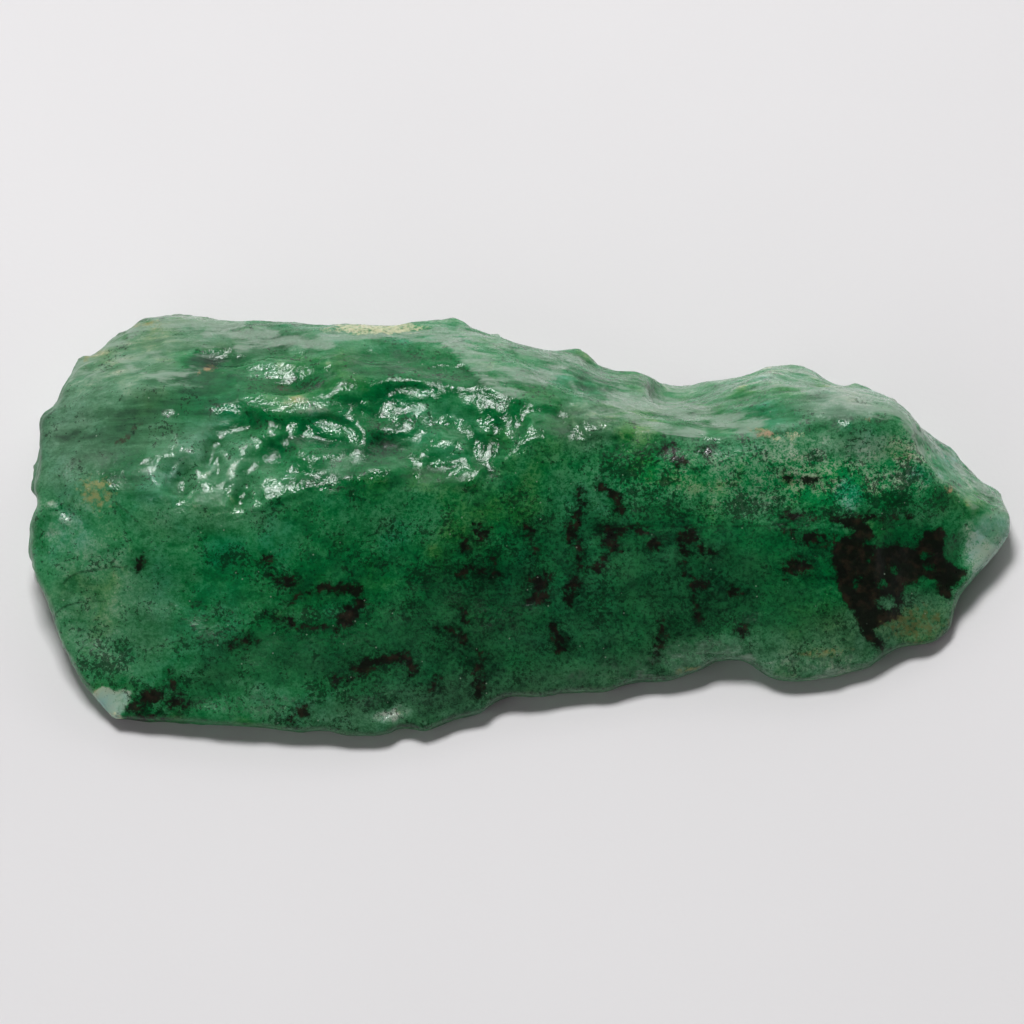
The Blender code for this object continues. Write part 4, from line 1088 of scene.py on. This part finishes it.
class Nodes:
    """A material's node tree, with short calls for what the two materials need."""

    def __init__(self, name):
        self.material = bpy.data.materials.new(name)
        self.material.use_nodes = True
        self.tree = self.material.node_tree
        self.shader = self.tree.nodes["Principled BSDF"]
        self.place = self.add("ShaderNodeTexCoord").outputs["Object"]

    def add(self, kind, **settings):
        node = self.tree.nodes.new(kind)
        for key, value in settings.items():
            setattr(node, key, value)
        return node

    def feed(self, socket, value):
        if isinstance(value, bpy.types.NodeSocket):
            self.tree.links.new(value, socket)
        else:
            socket.default_value = value

    def noise(self, name):
        """One of the named noise patterns, around 0.5."""
        return self.pattern(*NOISES[name])

    def pattern(self, scale, detail, rough=0.5, swirl=0.0, stretch=(1.0, 1.0, 1.0)):
        mapping = self.add("ShaderNodeMapping")
        mapping.inputs["Scale"].default_value = stretch
        self.feed(mapping.inputs["Vector"], self.place)
        node = self.add("ShaderNodeTexNoise")
        for name, value in (("Scale", scale), ("Detail", detail), ("Roughness", rough),
                            ("Distortion", swirl), ("Vector", mapping.outputs["Vector"])):
            self.feed(node.inputs[name], value)
        return node.outputs["Fac"]

    def swing(self, name):
        """A named noise as a swing of about its amount to either side of 0."""
        amount = SWINGS[name]
        return self.math("MULTIPLY_ADD", self.noise(name), amount * 4.0, -amount * 2.0)

    def cells(self, scale):
        node = self.add("ShaderNodeTexVoronoi", feature="F1")
        node.inputs["Scale"].default_value = scale
        self.feed(node.inputs["Vector"], self.place)
        return node.outputs["Distance"]

    def math(self, operation, first, second=0.0, third=0.0):
        node = self.add("ShaderNodeMath", operation=operation)
        for socket, value in zip(node.inputs, (first, second, third)):
            self.feed(socket, value)
        return node.outputs[0]

    def times(self, first, second):
        return self.math("MULTIPLY", first, second)

    def inverse(self, value):
        return self.math("SUBTRACT", 1.0, value)

    def total(self, *values):
        result = values[0]
        for value in values[1:]:
            result = self.math("ADD", result, value)
        return result

    def edge(self, kind, value, out_low=0.0):
        """out_low where this kind of mark starts, 1 where it is full, smooth between."""
        low, high = EDGES[kind]
        node = self.add("ShaderNodeMapRange", interpolation_type="SMOOTHSTEP")
        for name, amount in (("Value", value), ("From Min", low), ("From Max", high),
                             ("To Min", out_low), ("To Max", 1.0)):
            self.feed(node.inputs[name], amount)
        return node.outputs["Result"]

    def field(self, name, output="Fac"):
        """One of the stone's fields, as paint wrote it."""
        node = self.add("ShaderNodeAttribute", attribute_name="stone_" + name)
        return node.outputs[output]

    def tones(self, value, stops):
        """The colour at this value of a row of colour stops."""
        node = self.add("ShaderNodeValToRGB")
        elements = node.color_ramp.elements
        while len(elements) < len(stops):
            elements.new(0.5)
        for element, (place, colour) in zip(elements, stops):
            element.position = place
            element.color = rgba(colour)
        self.feed(node.inputs["Fac"], value)
        return node.outputs["Color"]

    def blend(self, share, first, second, kind="MIX"):
        node = self.add("ShaderNodeMix", data_type="RGBA", blend_type=kind)
        self.feed(node.inputs["Factor"], share)
        for socket in node.inputs:
            if socket.type == "RGBA" and socket.name == "A":
                self.feed(socket, first)
            if socket.type == "RGBA" and socket.name == "B":
                self.feed(socket, second)
        return next(socket for socket in node.outputs if socket.type == "RGBA")

    def cover(self, kind, mask, under, over):
        """The colour underneath, covered with a mark's colour where the mask is 1."""
        return self.blend(self.times(mask, COVER[kind]), under, over)

    def bump(self, name, strength, under=None):
        """Bumps from a named noise, on top of the bumps given."""
        node = self.add("ShaderNodeBump")
        node.inputs["Distance"].default_value = BUMPS[name]
        self.feed(node.inputs["Strength"], strength)
        self.feed(node.inputs["Height"], self.noise(name))
        if under is not None:
            self.feed(node.inputs["Normal"], under)
        return node.outputs["Normal"]


def body_colour(nodes, grain, capped):
    """Cloudy body: the tone field with finer clouds on top, through the body tones."""
    mottle = nodes.times(nodes.total(nodes.swing("mottle"), nodes.swing("fine_mottle")), grain)
    mottle = nodes.math("MINIMUM", mottle, LIGHTEST_MOTTLE)
    streaks = nodes.times(nodes.swing("streaks"), nodes.field("streak"))
    cloud = nodes.math("ADD", nodes.swing("clouds"), nodes.swing("wisps"))
    cloud = nodes.math("MINIMUM", cloud, nodes.times(cloud, LIGHT_CLOUD_SHARE))
    calm = nodes.math("MULTIPLY_ADD", capped, 0.6, 0.4)
    tone = nodes.total(nodes.field("tone"), nodes.times(cloud, calm), mottle, streaks)
    colour = nodes.tones(tone, BODY_TONES)
    hue = nodes.total(nodes.field("hue"), nodes.swing("hue"))
    blue = nodes.edge("lean", nodes.times(hue, -1.0))
    colour = nodes.blend(blue, colour, rgba(BLUE_SHIFT), "MULTIPLY")
    colour = nodes.blend(nodes.edge("lean", hue), colour, rgba(OLIVE_SHIFT), "MULTIPLY")

    dull = nodes.total(nodes.field("dull"), nodes.swing("dullness"))
    vivid = nodes.add("ShaderNodeHueSaturation")
    nodes.feed(vivid.inputs["Saturation"], nodes.math("MULTIPLY_ADD", dull, DULL_SATURATION, 1.0))
    nodes.feed(vivid.inputs["Color"], colour)
    return vivid.outputs["Color"]


def add_specks(nodes, colour):
    """Fine dark specks in clusters and thin dark veinlets, thick where the speck field is strong."""
    specks = nodes.field("specks")
    cluster = nodes.swing("clusters")
    level = nodes.total(nodes.noise("specks"), cluster, nodes.times(specks, SPECK_LIFT))
    colour = nodes.cover("speck", nodes.edge("speck", level), colour, rgba(SPECK_GREEN))
    bend = nodes.math("ABSOLUTE", nodes.math("SUBTRACT", nodes.noise("veinlets"), 0.5))
    width = nodes.total(specks, nodes.times(cluster, 3.0), -0.25)
    veinlet = nodes.math("LESS_THAN", bend, nodes.times(width, VEINLET_WIDTH))
    return nodes.cover("veinlet", veinlet, colour, rgba(SPECK_GREEN))


def add_matrix(nodes, colour):
    """Dark matrix with a crisp, intricate border and brown spots, in a halo of the deepest green."""
    reach = nodes.total(nodes.field("matrix"), nodes.swing("matrix_border"),
                        nodes.swing("matrix_fringe"))
    halo = nodes.inverse(nodes.edge("halo", reach))
    colour = nodes.cover("halo", halo, colour, rgba(BODY_TONES[0][1]))
    soil = nodes.blend(nodes.edge("soil", nodes.noise("soil")), rgba(MATRIX_DARK),
                       rgba(MATRIX_BROWN))
    return nodes.cover("matrix", nodes.inverse(nodes.edge("matrix", reach)), colour, soil)


def add_sheen_veils(nodes, colour):
    """Painted sheen: pale grey veils, drawn out into fine streaks."""
    field = nodes.field("painted_sheen")
    painted_sheen = nodes.edge("painted_sheen", nodes.math("ADD", field, nodes.swing("sheen_streaks")))
    painted_sheen = nodes.times(painted_sheen, nodes.edge("sheen_field", field))
    return nodes.cover("painted_sheen", painted_sheen, colour, rgba(SHEEN_GREY))


def add_stains(nodes, colour):
    """Stains with ragged borders, then hairline cracks and tiny pale dots of painted sparkle."""
    ragged = nodes.total(nodes.field("stain", "Alpha"), nodes.swing("stain_border"))
    stain = nodes.edge("stain", ragged)
    colour = nodes.cover("stain", stain, colour, nodes.field("stain", "Color"))
    crack = nodes.inverse(nodes.edge("crack", nodes.field("crack")))
    colour = nodes.cover("crack", crack, colour, rgba(SPECK_GREEN))
    # Tiny pale dots of painted sparkle.
    sparkle_dot = nodes.inverse(nodes.edge("grain", nodes.cells(SPARKLE_SCALE)))
    return nodes.cover("grain", sparkle_dot, colour, rgba(SPARKLE_GREY))


def fine_relief(nodes, capped):
    """Bumps that are too fine for the mesh."""
    relief = nodes.math("MULTIPLY_ADD", capped, 0.5, 0.15)
    normal = nodes.bump("wide_relief", relief)
    normal = nodes.bump("fine_relief", relief, normal)
    normal = nodes.bump("hackle", nodes.field("hackle"), normal)
    return nodes.bump("cellular", nodes.field("glint"), normal)


def fluorite_material():
    nodes = Nodes("fluorite")
    inputs = nodes.shader.inputs
    grain = nodes.field("grain")
    capped = nodes.math("MINIMUM", grain, 1.0)
    colour = body_colour(nodes, grain, capped)
    for add_marks in (add_specks, add_matrix, add_sheen_veils, add_stains):
        colour = add_marks(nodes, colour)
    nodes.feed(inputs["Base Color"], colour)
    nodes.feed(inputs["Roughness"], nodes.total(nodes.field("rough"), nodes.swing("roughness")))
    normal = fine_relief(nodes, capped)
    nodes.feed(inputs["Normal"], normal)
    nodes.feed(inputs["Coat Normal"], normal)
    # The gloss breaks off in fine pits.
    pits = nodes.edge("pits", nodes.noise("pits"), PIT_GLOSS)
    nodes.feed(inputs["Coat Weight"], nodes.times(nodes.field("wet"), pits))
    for name, value in STONE_SETTINGS.items():
        inputs[name].default_value = value
    return nodes.material


def paper_material():
    nodes = Nodes("paper")
    inputs = nodes.shader.inputs
    tone = nodes.edge("paper", nodes.noise("paper_tone"))
    nodes.feed(inputs["Base Color"], nodes.blend(tone, PAPER_DARK, PAPER_LIGHT))
    inputs["Roughness"].default_value = PAPER_ROUGHNESS
    nodes.feed(inputs["Normal"], nodes.bump("paper_grain", PAPER_BUMP_STRENGTH))
    return nodes.material


# ---------------------------------------------------------------- studio

def add_floor():
    bpy.ops.mesh.primitive_plane_add(size=FLOOR_SIZE, location=(0.0, 0.0, 0.0))
    floor = bpy.context.object
    floor.name = "paper_floor"
    floor.data.materials.append(paper_material())


def add_area(name, direction, distance, size, power, mirrored):
    data = bpy.data.lights.new(name, "AREA")
    data.shape = "RECTANGLE"
    data.size, data.size_y = size
    data.energy = power
    light = bpy.data.objects.new(name, data)
    outward = Vector(direction).normalized()
    light.location = outward * distance
    light.rotation_euler = outward.to_track_quat("Z", "Y").to_euler()
    light.visible_glossy = mirrored
    bpy.context.scene.collection.objects.link(light)


def add_sky():
    """A pale even sky with a dark opening round the camera."""
    world = bpy.data.worlds.new("studio")
    world.use_nodes = True
    tree = world.node_tree
    background = tree.nodes["Background"]
    background.inputs["Color"].default_value = SKY_COLOUR
    place = tree.nodes.new("ShaderNodeTexCoord")
    facing = tree.nodes.new("ShaderNodeVectorMath")
    facing.operation = "DOT_PRODUCT"
    facing.inputs[1].default_value = TOWARD_CAMERA
    level = tree.nodes.new("ShaderNodeMapRange")
    level.interpolation_type = "SMOOTHSTEP"
    for name, value in (("From Min", math.cos(SHADE_OUTER)), ("From Max", math.cos(SHADE_INNER)),
                        ("To Min", SKY_LEVEL), ("To Max", SHADE_LEVEL)):
        level.inputs[name].default_value = value
    tree.links.new(place.outputs["Generated"], facing.inputs[0])
    tree.links.new(facing.outputs["Value"], level.inputs["Value"])
    tree.links.new(level.outputs["Result"], background.inputs["Strength"])
    bpy.context.scene.world = world


def add_lights():
    for name, settings in LIGHTS.items():
        add_area(name, *settings)
    add_sky()
    bpy.context.scene.view_settings.view_transform = "Standard"


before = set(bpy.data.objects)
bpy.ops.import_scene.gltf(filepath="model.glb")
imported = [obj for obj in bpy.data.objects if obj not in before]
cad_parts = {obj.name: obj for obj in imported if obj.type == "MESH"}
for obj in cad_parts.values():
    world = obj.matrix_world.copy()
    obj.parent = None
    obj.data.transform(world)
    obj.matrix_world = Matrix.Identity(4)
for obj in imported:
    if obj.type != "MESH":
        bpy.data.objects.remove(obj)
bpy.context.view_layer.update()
add_camera()
skin = make_skin(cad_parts["fluorite_lump"])
paint(skin.data)
skin.data.materials.clear()
skin.data.materials.append(fluorite_material())
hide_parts("fluorite_lump")
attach(skin, "root")
add_floor()
add_lights()
